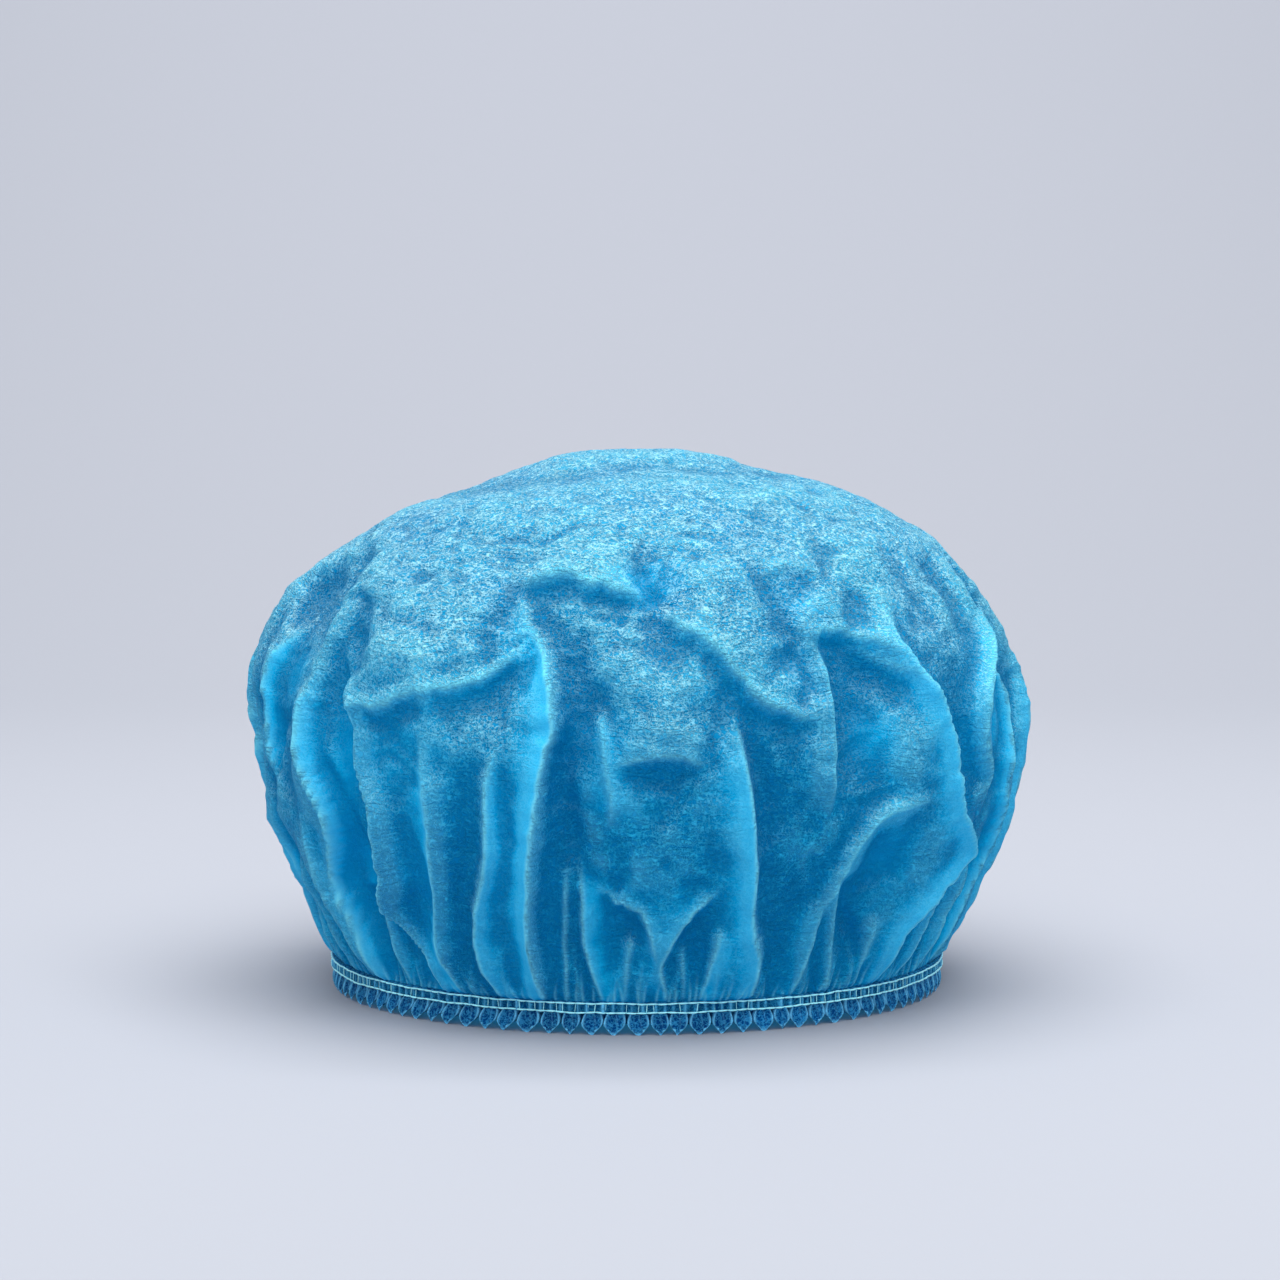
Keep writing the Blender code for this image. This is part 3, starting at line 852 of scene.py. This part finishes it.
def cloth_material(name, colors, see_through, speckle, crinkle, bump, edge_gain):
    """A translucent matt cloth of coloured fibres, with painted highlight where it faces up or swells and painted shade
    in its hollows, grooves and crinkles.
    """
    deep, plain, pale, low_fibre, painted_lit_fibre, crest_highlight_color, painted_glow_color, through = colors
    material = bpy.data.materials.new(name)
    material.use_nodes = True
    tree = material.node_tree
    surface = tree.nodes["Principled BSDF"]
    output = tree.nodes["Material Output"]
    fibres = use_group(tree, FIBRES, {"Fibres per metre": 1000.0, "Thinness": 0.06})
    crinkles = use_group(tree, CRINKLES, {"Lines per metre": 480.0})
    glows, edges, ridges, grooves, hollows, swells, upwards = (
        add_node(tree, "ShaderNodeAttribute", attribute_name=title).outputs["Fac"]
        for title in ("glow", "edge", "ridge", "groove", "hollow", "swell", "upward")
    )
    # random clouds of tone, plus painted light: paler on the swells and where the cloth faces up, darker where it does
    # not
    cloudy = math_node(tree, "MULTIPLY", math_node(tree, "SUBTRACT", fibres.outputs["Clouds"], 0.5), 2.2)
    patch = math_node(tree, "ADD", math_node(tree, "MULTIPLY_ADD", swells, 0.5, 0.5), cloudy, clamp=True)
    lit = math_node(tree, "MULTIPLY_ADD", swells, 0.25, upwards, clamp=True)
    base = mix_color(tree, lit, mix_color(tree, patch, deep, plain), mix_color(tree, patch, plain, pale))
    # painted highlight: the fibres are paler where the cloth faces up
    fibre = mix_color(tree, lit, low_fibre, painted_lit_fibre)
    # painted shade in the hollows
    base = mix_color(tree, math_node(tree, "MULTIPLY", hollows, 0.65, clamp=True), base, deep)
    # painted glow of light coming through the smooth taut cloth, which also loses its rough fibres
    base = mix_color(tree, math_node(tree, "MULTIPLY", glows, 0.92, clamp=True), base, painted_glow_color)
    rough_patch = math_node(tree, "SUBTRACT", 1.0, math_node(tree, "MULTIPLY", glows, 0.92), clamp=True)
    shaded = math_node(tree, "SUBTRACT", 1.0, math_node(tree, "MULTIPLY", hollows, 0.15), clamp=True)
    strength = math_node(tree, "MULTIPLY", math_node(tree, "MULTIPLY", rough_patch, shaded), speckle)
    gaps = math_node(tree, "SUBTRACT", 1.0, math_node(tree, "MULTIPLY", fibres.outputs["Fibres"], 2.5), clamp=True)
    base = mix_color(tree, math_node(tree, "MULTIPLY", gaps, math_node(tree, "MULTIPLY", rough_patch, 0.62)), base, deep)
    base = mix_color(tree, math_node(tree, "MULTIPLY", fibres.outputs["Fibres"], strength), base, fibre)
    lines = math_node(tree, "MULTIPLY", crinkles.outputs["Crinkle"], crinkle)
    # painted shade along the fine crinkles, which are also real bumps below
    base = mix_color(tree, math_node(tree, "MULTIPLY", lines, math_node(tree, "MULTIPLY", rough_patch, 0.30)), base, deep)
    # painted shade in the narrow grooves
    base = mix_color(tree, math_node(tree, "MULTIPLY", grooves, 0.6), base, deep)
    # painted highlight along the crests and narrow ridges
    thin_edges = math_node(tree, "POWER", edges, 1.7)
    painted_crest_light = math_node(tree, "MULTIPLY_ADD", ridges, 0.22, math_node(tree, "MULTIPLY", thin_edges, edge_gain), clamp=True)
    base = mix_color(tree, painted_crest_light, base, crest_highlight_color)
    height = math_node(
        tree, "SUBTRACT",
        math_node(tree, "MULTIPLY", fibres.outputs["Height"], rough_patch),
        math_node(tree, "MULTIPLY", lines, rough_patch),
    )
    bumps = add_node(tree, "ShaderNodeBump", {"Height": height, "Strength": bump, "Distance": 0.0004})
    link(tree, base, surface.inputs["Base Color"])
    link(tree, bumps.outputs[0], surface.inputs["Normal"])
    surface.inputs["Roughness"].default_value = 0.48
    surface.inputs["Specular IOR Level"].default_value = 0.02
    thin =tree.nodes.new("ShaderNodeBsdfTranslucent")
    thin_color = mix_color(tree, math_node(tree, "MULTIPLY", fibres.outputs["Fibres"], 0.35), through, fibre)
    link(tree, thin_color, thin.inputs["Color"])
    link(tree, bumps.outputs[0], thin.inputs["Normal"])
    both = tree.nodes.new("ShaderNodeMixShader")
    both.inputs[0].default_value = see_through
    link(tree, surface.outputs[0], both.inputs[1])
    link(tree, thin.outputs[0], both.inputs[2])
    link(tree, both.outputs[0], output.inputs["Surface"])
    material.diffuse_color = (*plain, 1.0)
    return material


# the colours: deep (painted shade, and the dark gaps between fibres), plain, pale (painted highlight where the
# cloth faces up or swells), fibre, pale fibre (painted highlight on fibres that face up), bright line (painted
# highlight on crests), painted glow of light through smooth taut cloth, light that comes through
CROWN_COLORS = (
    (0.000, 0.160, 0.350), (0.001, 0.410, 0.780), (0.080, 0.760, 1.000), (0.030, 0.620, 0.940),
    (0.620, 1.000, 1.000), (0.210, 0.830, 1.000), (0.000, 0.580, 1.000), (0.000, 0.560, 1.000),
)
HEM_COLORS = (
    (0.000, 0.060, 0.200), (0.001, 0.290, 0.640), (0.020, 0.360, 0.680), (0.070, 0.620, 0.920),
    (0.400, 0.880, 1.000), (0.150, 0.620, 1.000), (0.001, 0.240, 0.560), (0.001, 0.300, 0.640),
)
FRILL_COLORS = (
    (0.000, 0.022, 0.120), (0.001, 0.190, 0.560), (0.020, 0.300, 0.600), (0.080, 0.560, 0.940),
    (0.400, 0.880, 1.000), (0.160, 0.620, 1.000), (0.001, 0.200, 0.500), (0.001, 0.240, 0.600),
)
crown_cloth = cloth_material("blue_nonwoven", CROWN_COLORS, 0.32, speckle=1.0, crinkle=0.9, bump=1.0, edge_gain=0.95)
crown.data.materials.append(crown_cloth)
hem_cloth = cloth_material("hem_nonwoven", HEM_COLORS, 0.15, speckle=0.4, crinkle=0.2, bump=0.7, edge_gain=0.9)
frill_cloth = cloth_material("frill_nonwoven", FRILL_COLORS, 0.15, speckle=0.5, crinkle=0.1, bump=0.7, edge_gain=1.2)

# %% [markdown]
# ## The rim
#
# Below the crown the cloth is folded into a flat casing, and two rows of stitches hold the elastic
# in it. Beyond the lower row the cloth stands out in small loops. All of this repeats round a
# circle, so each piece is a Geometry Nodes tree: a grid or a circle whose points are placed by
# sums of their turn round the rim, with a little noise so that no two pleats are alike.


# %% Geometry Nodes helpers
def grow_tree(name, inputs):
    """An empty geometry tree with named number inputs and a material input."""
    tree = bpy.data.node_groups.new(name, "GeometryNodeTree")
    for title, start in inputs.items():
        kind = "NodeSocketInt" if isinstance(start, int) else "NodeSocketFloat"
        tree.interface.new_socket(name=title, in_out="INPUT", socket_type=kind).default_value = start
    tree.interface.new_socket(name="Material", in_out="INPUT", socket_type="NodeSocketMaterial")
    tree.interface.new_socket(name="Geometry", in_out="OUTPUT", socket_type="NodeSocketGeometry")
    return tree, tree.nodes.new("NodeGroupInput").outputs


def finish_tree(tree, geometry, given):
    """Ends a tree with real faces, smooth shading and its material."""
    whole = add_node(tree, "GeometryNodeRealizeInstances", {"Geometry": geometry})
    soft = add_node(tree, "GeometryNodeSetShadeSmooth", {"Geometry": whole.outputs[0]})
    dressed = add_node(tree, "GeometryNodeSetMaterial", {"Geometry": soft.outputs[0], "Material": given["Material"]})
    result = tree.nodes.new("NodeGroupOutput")
    link(tree, dressed.outputs[0], result.inputs[0])


def grow(name, tree, values, material):
    """Runs a tree with its values and keeps the result as a plain mesh object."""
    seed_mesh = bpy.data.meshes.new("empty")
    piece = bpy.data.objects.new(name, seed_mesh)
    bpy.context.scene.collection.objects.link(piece)
    modifier = piece.modifiers.new("tree", "NODES")
    modifier.node_group = tree
    names = {item.name: item.identifier for item in tree.interface.items_tree if item.in_out == "INPUT"}
    for title, value in values.items():
        modifier[names[title]] = value
    modifier[names["Material"]] = material
    bpy.context.view_layer.update()
    result = piece.evaluated_get(bpy.context.evaluated_depsgraph_get())
    mesh = bpy.data.meshes.new_from_object(result)
    mesh.name = name
    piece.modifiers.remove(modifier)
    piece.data = mesh
    print(name + ":", len(mesh.polygons), "faces")
    return piece


def sums(tree):
    """Short names for the sums that a tree does most."""
    def sum_of(operation):
        return lambda a, b=0.0, c=0.0: math_node(tree, operation, a, b, c)
    return {name: sum_of(name.upper()) for name in (
        "add", "subtract", "multiply", "divide", "sine", "cosine", "absolute", "power",
        "maximum", "minimum", "fract", "sign", "multiply_add", "smooth_min",
    )}


def round_noise(tree, angle, frequency, seed):
    """Smooth noise from -0.5 to 0.5 that closes on itself round the rim."""
    do = sums(tree)
    spot = add_node(tree, "ShaderNodeCombineXYZ", {
        0: do["multiply"](do["sine"](angle), frequency),
        1: do["multiply"](do["cosine"](angle), frequency),
        2: do["multiply"](seed, 3.7),
    })
    noise = add_node(tree, "ShaderNodeTexNoise", {"Vector": spot.outputs[0], "Scale": 1.0, "Detail": 1.0})
    return do["subtract"](noise.outputs[0], 0.5)


def grid_turns(tree, columns, rows_up):
    """A grid, and the turn (-pi to pi, 0 at the front) and share up of each of its points."""
    grid = add_node(tree, "GeometryNodeMeshGrid", {
        "Size X": 1.0, "Size Y": 1.0, "Vertices X": columns, "Vertices Y": rows_up,
    })
    place = add_node(tree, "ShaderNodeSeparateXYZ", {0: tree.nodes.new("GeometryNodeInputPosition").outputs[0]})
    angle = math_node(tree, "MULTIPLY", place.outputs[0], 2.0 * math.pi)
    return grid.outputs["Mesh"], angle, place.outputs[1]


def put_round(tree, geometry, angle, radius, height):
    """Moves points to their place round the upright axis."""
    do = sums(tree)
    place = add_node(tree, "ShaderNodeCombineXYZ", {
        0: do["multiply"](radius, do["sine"](angle)),
        1: do["multiply"](do["multiply"](radius, do["cosine"](angle)), -1.0),
        2: height,
    })
    moved = add_node(tree, "GeometryNodeSetPosition", {"Geometry": geometry, "Position": place.outputs[0]})
    return moved.outputs[0]


def keep_value(tree, geometry, name, value):
    """Stores a number on the points for the material to read."""
    kept = add_node(tree, "GeometryNodeStoreNamedAttribute", {"Geometry": geometry, "Name": name, "Value": value},
                    data_type="FLOAT", domain="POINT")
    return kept.outputs[0]


# %% The pleated casing
def casing_tree():
    """A flat tube of cloth round the rim, its outer side in narrow pleats."""
    tree, given = grow_tree("gathered_casing", {
        "Radius": 0.08735, "Half thickness": 0.0013, "Middle": 0.0073, "Half height": 0.0018,
        "Pleats": 204, "Pleat depth": 0.00100, "Columns": 1632, "Section": 16, "Seed": 3,
    })
    do = sums(tree)
    columns = do["add"](given["Columns"], 1.0)
    grid, angle, share = grid_turns(tree, columns, given["Section"])
    wander = round_noise(tree, angle, 9.0, given["Seed"])
    phase = do["add"](do["divide"](do["multiply"](angle, given["Pleats"]), 2.0 * math.pi), do["multiply"](wander, 2.6))
    ramp = do["subtract"](1.0, do["multiply"](do["absolute"](do["subtract"](do["fract"](phase), 0.5)), 2.0))
    crest = do["power"](ramp, 1.6)
    uneven = do["add"](1.0, do["multiply"](round_noise(tree, angle, 30.0, 8.0), 1.4))
    section = do["multiply"](share, 2.0 * math.pi)
    across = do["cosine"](section)
    up = do["sine"](section)
    wide = do["multiply"](do["sign"](across), do["power"](do["absolute"](across), 0.45))
    tall = do["multiply"](do["sign"](up), do["power"](do["absolute"](up), 0.45))
    outside = do["maximum"](across, 0.0)
    radius = do["add"](given["Radius"], do["multiply"](wide, given["Half thickness"]))
    pleat = do["multiply"](do["multiply"](crest, uneven), do["multiply"](outside, given["Pleat depth"]))
    radius = do["add"](radius, pleat)
    height = do["add"](given["Middle"], do["multiply"](tall, given["Half height"]))
    # painted highlight along the crest of each pleat
    lines = do["multiply"](do["power"](ramp, 3.0), do["multiply"](uneven, outside))
    kept = keep_value(tree, grid, "edge", lines)
    # painted shade between the pleats
    pleat_gap_shade = do["multiply"](do["subtract"](1.0, ramp), 1.5)
    dark = keep_value(tree, kept, "hollow", pleat_gap_shade)
    moved = put_round(tree, dark, angle, radius, height)
    joined = add_node(tree, "GeometryNodeMergeByDistance", {"Geometry": moved, "Distance": 0.00002})
    finish_tree(tree, joined.outputs[0], given)
    return tree


hem = grow("gathered_casing", casing_tree(), {"Pleats": PLEATS}, hem_cloth)


# %% The frill of loops
LOOPS = 96


def bell(tree, value, centre, width):
    """1 at the centre, falling off softly over the width."""
    share = math_node(tree, "DIVIDE", math_node(tree, "SUBTRACT", value, centre), width)
    square = math_node(tree, "MULTIPLY", math_node(tree, "MULTIPLY", share, share), -1.0)
    return math_node(tree, "POWER", 2.718, square)


def frill_tree():
    """A ring of cloth that opens downwards into loops: petals with deep gaps between them."""
    tree, given = grow_tree("looped_frill", {
        "Radius": 0.0886, "Flare": 0.0012, "Top": 0.0064, "Loops": 96, "Gap depth": 0.0034, "Face": 0.70,
        "Scoop": 0.0006, "Columns": 2304, "Rows": 15, "Lean": 0.42, "Seed": 5,
    })
    do = sums(tree)
    columns = do["add"](given["Columns"], 1.0)
    grid, angle, share = grid_turns(tree, columns, given["Rows"])
    down = do["subtract"](0.5, share)
    wander = round_noise(tree, angle, 8.0, given["Seed"])
    turns = do["add"](do["divide"](do["multiply"](angle, given["Loops"]), 2.0 * math.pi), do["multiply"](wander, 0.5))
    offset = do["multiply"](do["subtract"](do["fract"](do["add"](turns, 0.5)), 0.5), 2.0)
    off = do["absolute"](offset)
    on_face = do["minimum"](do["divide"](off, given["Face"]), 1.0)
    in_gap = do["maximum"](do["divide"](do["subtract"](off, given["Face"]), do["subtract"](1.0, given["Face"])), 0.0)
    opened = do["minimum"](do["divide"](down, 0.45), 1.0)
    opened = do["sine"](do["multiply"](opened, math.pi / 2.0))
    tip = do["power"](do["maximum"](do["divide"](do["subtract"](down, 0.5), 0.5), 0.0), 2.0)
    half_width = do["subtract"](do["add"](0.58, do["multiply"](opened, 0.34)), do["multiply"](tip, 0.66))
    across = do["add"](do["multiply"](on_face, half_width), do["multiply"](in_gap, do["subtract"](1.0, half_width)))
    shift = do["subtract"](do["multiply"](across, do["sign"](offset)), offset)
    steady = do["subtract"](do["multiply"](do["sine"](angle), 0.9), do["multiply"](do["cosine"](angle), 0.35))
    lean = do["multiply"](do["add"](do["multiply"](round_noise(tree, angle, 7.0, 2.0), 2.0), steady), given["Lean"])
    shift = do["add"](do["multiply"](shift, 0.5), do["multiply"](lean, down))
    turned = do["add"](angle, do["divide"](do["multiply"](shift, 2.0 * math.pi), given["Loops"]))
    uneven = do["add"](1.0, do["multiply"](round_noise(tree, angle, 26.0, 4.0), 0.4))
    depth = do["multiply"](do["multiply"](given["Gap depth"], uneven), do["multiply_add"](opened, 0.7, 0.3))
    back = do["multiply"](depth, do["power"](do["sine"](do["multiply"](in_gap, math.pi / 2.0)), 0.8))
    scoop = do["multiply"](given["Scoop"], do["multiply"](opened, do["subtract"](1.0, do["power"](on_face, 3.0))))
    radius = do["add"](given["Radius"], do["multiply"](given["Flare"], do["multiply"](down, uneven)))
    radius = do["subtract"](do["subtract"](radius, back), do["add"](scoop, do["multiply"](tip, 0.0005)))
    round_end = do["subtract"](1.0, do["power"](do["maximum"](do["subtract"](1.0, do["power"](on_face, 2.2)), 0.0), 0.5))
    lift = do["add"](do["multiply"](round_end, 0.24), do["multiply"](in_gap, 0.20))
    fall = do["multiply"](down, do["subtract"](1.0, do["multiply"](lift, do["power"](down, 1.5))))
    height = do["multiply"](given["Top"], do["subtract"](1.0, fall))
    # painted highlight along the loops' lower rims, outlines and creases
    rim = do["multiply"](bell(tree, down, 1.0, 0.12), do["subtract"](1.0, do["minimum"](do["multiply"](in_gap, 3.0), 1.0)))
    outline = bell(tree, off, do["subtract"](given["Face"], 0.05), 0.11)
    crease = do["multiply"](bell(tree, offset, do["multiply"](down, 0.30), 0.06), do["subtract"](1.0, do["multiply"](down, 0.7)))
    edge_light = do["maximum"](do["maximum"](rim, outline), do["multiply"](crease, 0.6))
    kept = keep_value(tree, grid, "edge", edge_light)
    # painted shade in the gaps between the loops
    dark = keep_value(tree, kept, "hollow", do["minimum"](do["multiply"](in_gap, 2.2), 1.0))
    moved = put_round(tree, dark, turned, radius, height)
    joined = add_node(tree, "GeometryNodeMergeByDistance", {"Geometry": moved, "Distance": 0.00001})
    finish_tree(tree, joined.outputs[0], given)
    return tree


frill = grow("looped_frill", frill_tree(), {"Loops": LOOPS}, frill_cloth)


# %% [markdown]
# ## Stitches
#
# A pale thread runs round each side of the casing. Each stitch is a short rise of the thread
# between two needle holes. Between the rows the needle thread crosses the pleats as thin rungs.


# %% Thread rows
def thread_tree():
    """A thread round the rim that dips and thins at every needle hole."""
    tree, given = grow_tree("stitched_row", {
        "Radius": 0.0893, "Height": 0.0077, "Stitches": 204, "Thread": 0.00026, "Seed": 1,
    })
    do = sums(tree)
    steps_round = do["multiply"](given["Stitches"], 6.0)
    ring = add_node(tree, "GeometryNodeCurvePrimitiveCircle", {"Resolution": steps_round, "Radius": 1.0})
    index = tree.nodes.new("GeometryNodeInputIndex").outputs[0]
    angle = do["divide"](do["multiply"](index, 2.0 * math.pi), steps_round)
    beat = do["absolute"](do["sine"](do["multiply"](angle, do["multiply"](given["Stitches"], 0.5))))
    rise = do["power"](beat, 0.5)
    wave = round_noise(tree, angle, 14.0, given["Seed"])
    fine = round_noise(tree, angle, 60.0, given["Seed"])
    radius = do["add"](given["Radius"], do["add"](do["multiply"](rise, 0.00030), do["multiply"](fine, 0.0003)))
    height = do["add"](given["Height"], do["add"](do["multiply"](wave, 0.0008), do["multiply"](fine, 0.0002)))
    moved = put_round(tree, ring.outputs["Curve"], angle, radius, height)
    thick = do["add"](0.55, do["multiply"](rise, 0.45))
    profile = add_node(tree, "GeometryNodeCurvePrimitiveCircle", {"Resolution": 7, "Radius": 1.0})
    tube = add_node(tree, "GeometryNodeCurveToMesh", {
        "Curve": moved, "Profile Curve": profile.outputs["Curve"], "Scale": do["multiply"](thick, given["Thread"]),
    })
    finish_tree(tree, tube.outputs[0], given)
    return tree


def thread_material():
    """Pale twisted polyester thread."""
    material = bpy.data.materials.new("pale_thread")
    material.use_nodes = True
    tree = material.node_tree
    surface = tree.nodes["Principled BSDF"]
    place = add_node(tree, "ShaderNodeTexCoord").outputs["Object"]
    twist = add_node(tree, "ShaderNodeTexNoise", {"Vector": place, "Scale": 2600.0, "Detail": 2.0})
    clouds = add_node(tree, "ShaderNodeTexNoise", {"Vector": place, "Scale": 90.0, "Detail": 1.0})
    tone = mix_color(tree, twist.outputs[0], (0.18, 0.80, 1.0), (0.55, 1.0, 1.0))
    tone = mix_color(tree, math_node(tree, "MULTIPLY", clouds.outputs[0], 0.5), tone, (0.26, 0.88, 1.0))
    bumps = add_node(tree, "ShaderNodeBump", {"Height": twist.outputs[0], "Strength": 0.5, "Distance": 0.0002})
    link(tree, tone, surface.inputs["Base Color"])
    link(tree, bumps.outputs[0], surface.inputs["Normal"])
    surface.inputs["Roughness"].default_value = 0.5
    surface.inputs["Sheen Weight"].default_value = 0.2
    return material


pale_thread = thread_material()
THREAD_ROW = thread_tree()
upper_row = grow("upper_stitches", THREAD_ROW, {"Height": 0.0086, "Seed": 1, "Stitches": PLEATS}, pale_thread)
lower_row = grow("lower_stitches", THREAD_ROW, {"Height": 0.0062, "Seed": 2, "Stitches": PLEATS}, pale_thread)


# %% Rungs between the rows
def rung_tree():
    """Thin threads that cross the casing between the two rows."""
    tree, given = grow_tree("stitch_rungs", {
        "Radius": 0.0892, "Low": 0.0062, "High": 0.0086, "Rungs": 204, "Thread": 0.00013, "Seed": 7,
    })
    do = sums(tree)
    ring = add_node(tree, "GeometryNodeMeshCircle", {"Vertices": given["Rungs"], "Radius": 1.0})
    index = tree.nodes.new("GeometryNodeInputIndex").outputs[0]
    stray = add_node(tree, "FunctionNodeRandomValue", {2: -0.33, 3: 0.33, 8: given["Seed"]}, data_type="FLOAT")
    angle = do["divide"](do["multiply"](do["add"](index, stray.outputs[1]), 2.0 * math.pi), given["Rungs"])
    placed = put_round(tree, ring.outputs["Mesh"], angle, given["Radius"], given["Low"])
    turned = keep_value(tree, placed, "turned", angle)
    bar = add_node(tree, "GeometryNodeMeshCylinder", {
        "Vertices": 6, "Side Segments": 3, "Radius": given["Thread"], "Depth": do["subtract"](given["High"], given["Low"]),
    })
    raised = add_node(tree, "GeometryNodeTransform", {
        "Geometry": bar.outputs["Mesh"],
        "Translation": add_node(tree, "ShaderNodeCombineXYZ", {
            2: do["multiply"](do["subtract"](given["High"], given["Low"]), 0.5)}).outputs[0],
    })
    kept_angle = add_node(tree, "GeometryNodeInputNamedAttribute", {"Name": "turned"}, data_type="FLOAT")
    tilt = add_node(tree, "FunctionNodeRandomValue", {2: -0.16, 3: 0.16, 8: 21}, data_type="FLOAT")
    size = add_node(tree, "FunctionNodeRandomValue", {2: 0.55, 3: 1.2, 8: 22}, data_type="FLOAT")
    turn_vector = add_node(tree, "ShaderNodeCombineXYZ", {1: tilt.outputs[1], 2: kept_angle.outputs[0]})
    size_vector = add_node(tree, "ShaderNodeCombineXYZ", {0: size.outputs[1], 1: size.outputs[1], 2: 1.0})
    pick = add_node(tree, "FunctionNodeRandomValue", {6: 0.72, 8: 23}, data_type="BOOLEAN")
    put = add_node(tree, "GeometryNodeInstanceOnPoints", {
        "Points": turned, "Selection": pick.outputs[3], "Instance": raised.outputs[0],
        "Rotation": turn_vector.outputs[0], "Scale": size_vector.outputs[0],
    })
    finish_tree(tree, put.outputs[0], given)
    return tree


rungs = grow("stitch_rungs", rung_tree(), {"Rungs": PLEATS}, pale_thread)

# %% [markdown]
# ## The elastic
#
# The elastic lies inside the casing. Its solid has the right shape, so it stays and only gets the
# look of white ribbed elastic.


# %% Elastic
def elastic_material():
    """White elastic with fine ribs along it."""
    material = bpy.data.materials.new("ribbed_elastic")
    material.use_nodes = True
    tree = material.node_tree
    surface = tree.nodes["Principled BSDF"]
    place = add_node(tree, "ShaderNodeTexCoord").outputs["Object"]
    parts = add_node(tree, "ShaderNodeSeparateXYZ", {0: place})
    ribs = math_node(tree, "SINE", math_node(tree, "MULTIPLY", parts.outputs[2], 2.0 * math.pi / 0.0005))
    grain = add_node(tree, "ShaderNodeTexNoise", {"Vector": place, "Scale": 1500.0, "Detail": 2.0})
    tone = mix_color(tree, grain.outputs[0], (0.62, 0.66, 0.70), (0.86, 0.88, 0.90))
    height = math_node(tree, "ADD", ribs, grain.outputs[0])
    bumps = add_node(tree, "ShaderNodeBump", {"Height": height, "Strength": 0.4, "Distance": 0.0002})
    link(tree, tone, surface.inputs["Base Color"])
    link(tree, bumps.outputs[0], surface.inputs["Normal"])
    surface.inputs["Roughness"].default_value = 0.7
    return material


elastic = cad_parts["elastic"]
for slot_of_elastic in elastic.material_slots:
    slot_of_elastic.material = elastic_material()
print("elastic keeps its solid,", len(elastic.data.vertices), "corners")

# %% Stage and light
def make_stage():
    """A floor that curves up into a backdrop, well behind the cap."""
    line = [(-3.0, 0.0), (0.9, 0.0)]
    line += [(0.9 + 1.9 * math.sin(a), 1.9 - 1.9 * math.cos(a)) for a in np.linspace(0.05, math.pi / 2, 40)]
    line += [(2.8, 4.5)]
    verts = [(x, y, z) for y, z in line for x in (-4.0, 4.0)]
    faces = [(2 * i, 2 * i + 1, 2 * i + 3, 2 * i + 2) for i in range(len(line) - 1)]
    mesh = bpy.data.meshes.new("seamless_floor")
    mesh.from_pydata(verts, [], faces)
    mesh.shade_smooth()
    floor = bpy.data.objects.new("seamless_floor", mesh)
    bpy.context.scene.collection.objects.link(floor)
    material = bpy.data.materials.new("pale_paper")
    material.use_nodes = True
    surface = material.node_tree.nodes["Principled BSDF"]
    surface.inputs["Base Color"].default_value = (0.325, 0.340, 0.382, 1.0)
    surface.inputs["Roughness"].default_value = 0.85
    surface.inputs["Specular IOR Level"].default_value = 0.2
    mesh.materials.append(material)


def add_area(name, place, aim, size, power, color):
    """A soft square lamp that looks at a point."""
    data = bpy.data.lights.new(name, "AREA")
    data.size = size
    data.energy = power
    data.color = color
    lamp = bpy.data.objects.new(name, data)
    lamp.location = place
    towards = np.array(aim) - np.array(place)
    spread = math.hypot(towards[0], towards[1])
    lamp.rotation_euler = (math.atan2(spread, -towards[2]), 0.0, math.atan2(towards[1], towards[0]) - math.pi / 2)
    bpy.context.scene.collection.objects.link(lamp)


def light_world(color, strength):
    """Even light from all round."""
    world = bpy.data.worlds.new("soft_room")
    world.use_nodes = True
    back = world.node_tree.nodes["Background"]
    back.inputs[0].default_value = (*color, 1.0)
    back.inputs[1].default_value = strength
    bpy.context.scene.world = world


make_stage()
light_world((0.93, 0.96, 1.0), 0.80)
add_area("key", (0.05, -0.30, 1.25), (0.0, 0.0, 0.08), 1.4, 27.0, (1.0, 0.99, 0.97))
add_area("front_fill", (0.0, -2.5, 1.0), (0.0, 0.0, 0.08), 1.2, 10.0, (0.95, 0.97, 1.0))
add_area("backdrop_wash", (0.0, 0.9, 2.4), (0.0, 2.8, 0.9), 1.6, 56.0, (1.0, 0.98, 0.98))
bpy.context.scene.view_settings.view_transform = "Standard"

# %% Join the pieces to the frame
for piece, slot_name in (
    (crown, "crown"), (hem, "gathered_hem"), (frill, "frill"),
    (upper_row, "gathered_hem"), (lower_row, "gathered_hem"), (rungs, "gathered_hem"),
):
    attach(piece, "root")
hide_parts("crown")
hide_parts("gathered_hem")
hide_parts("frill")
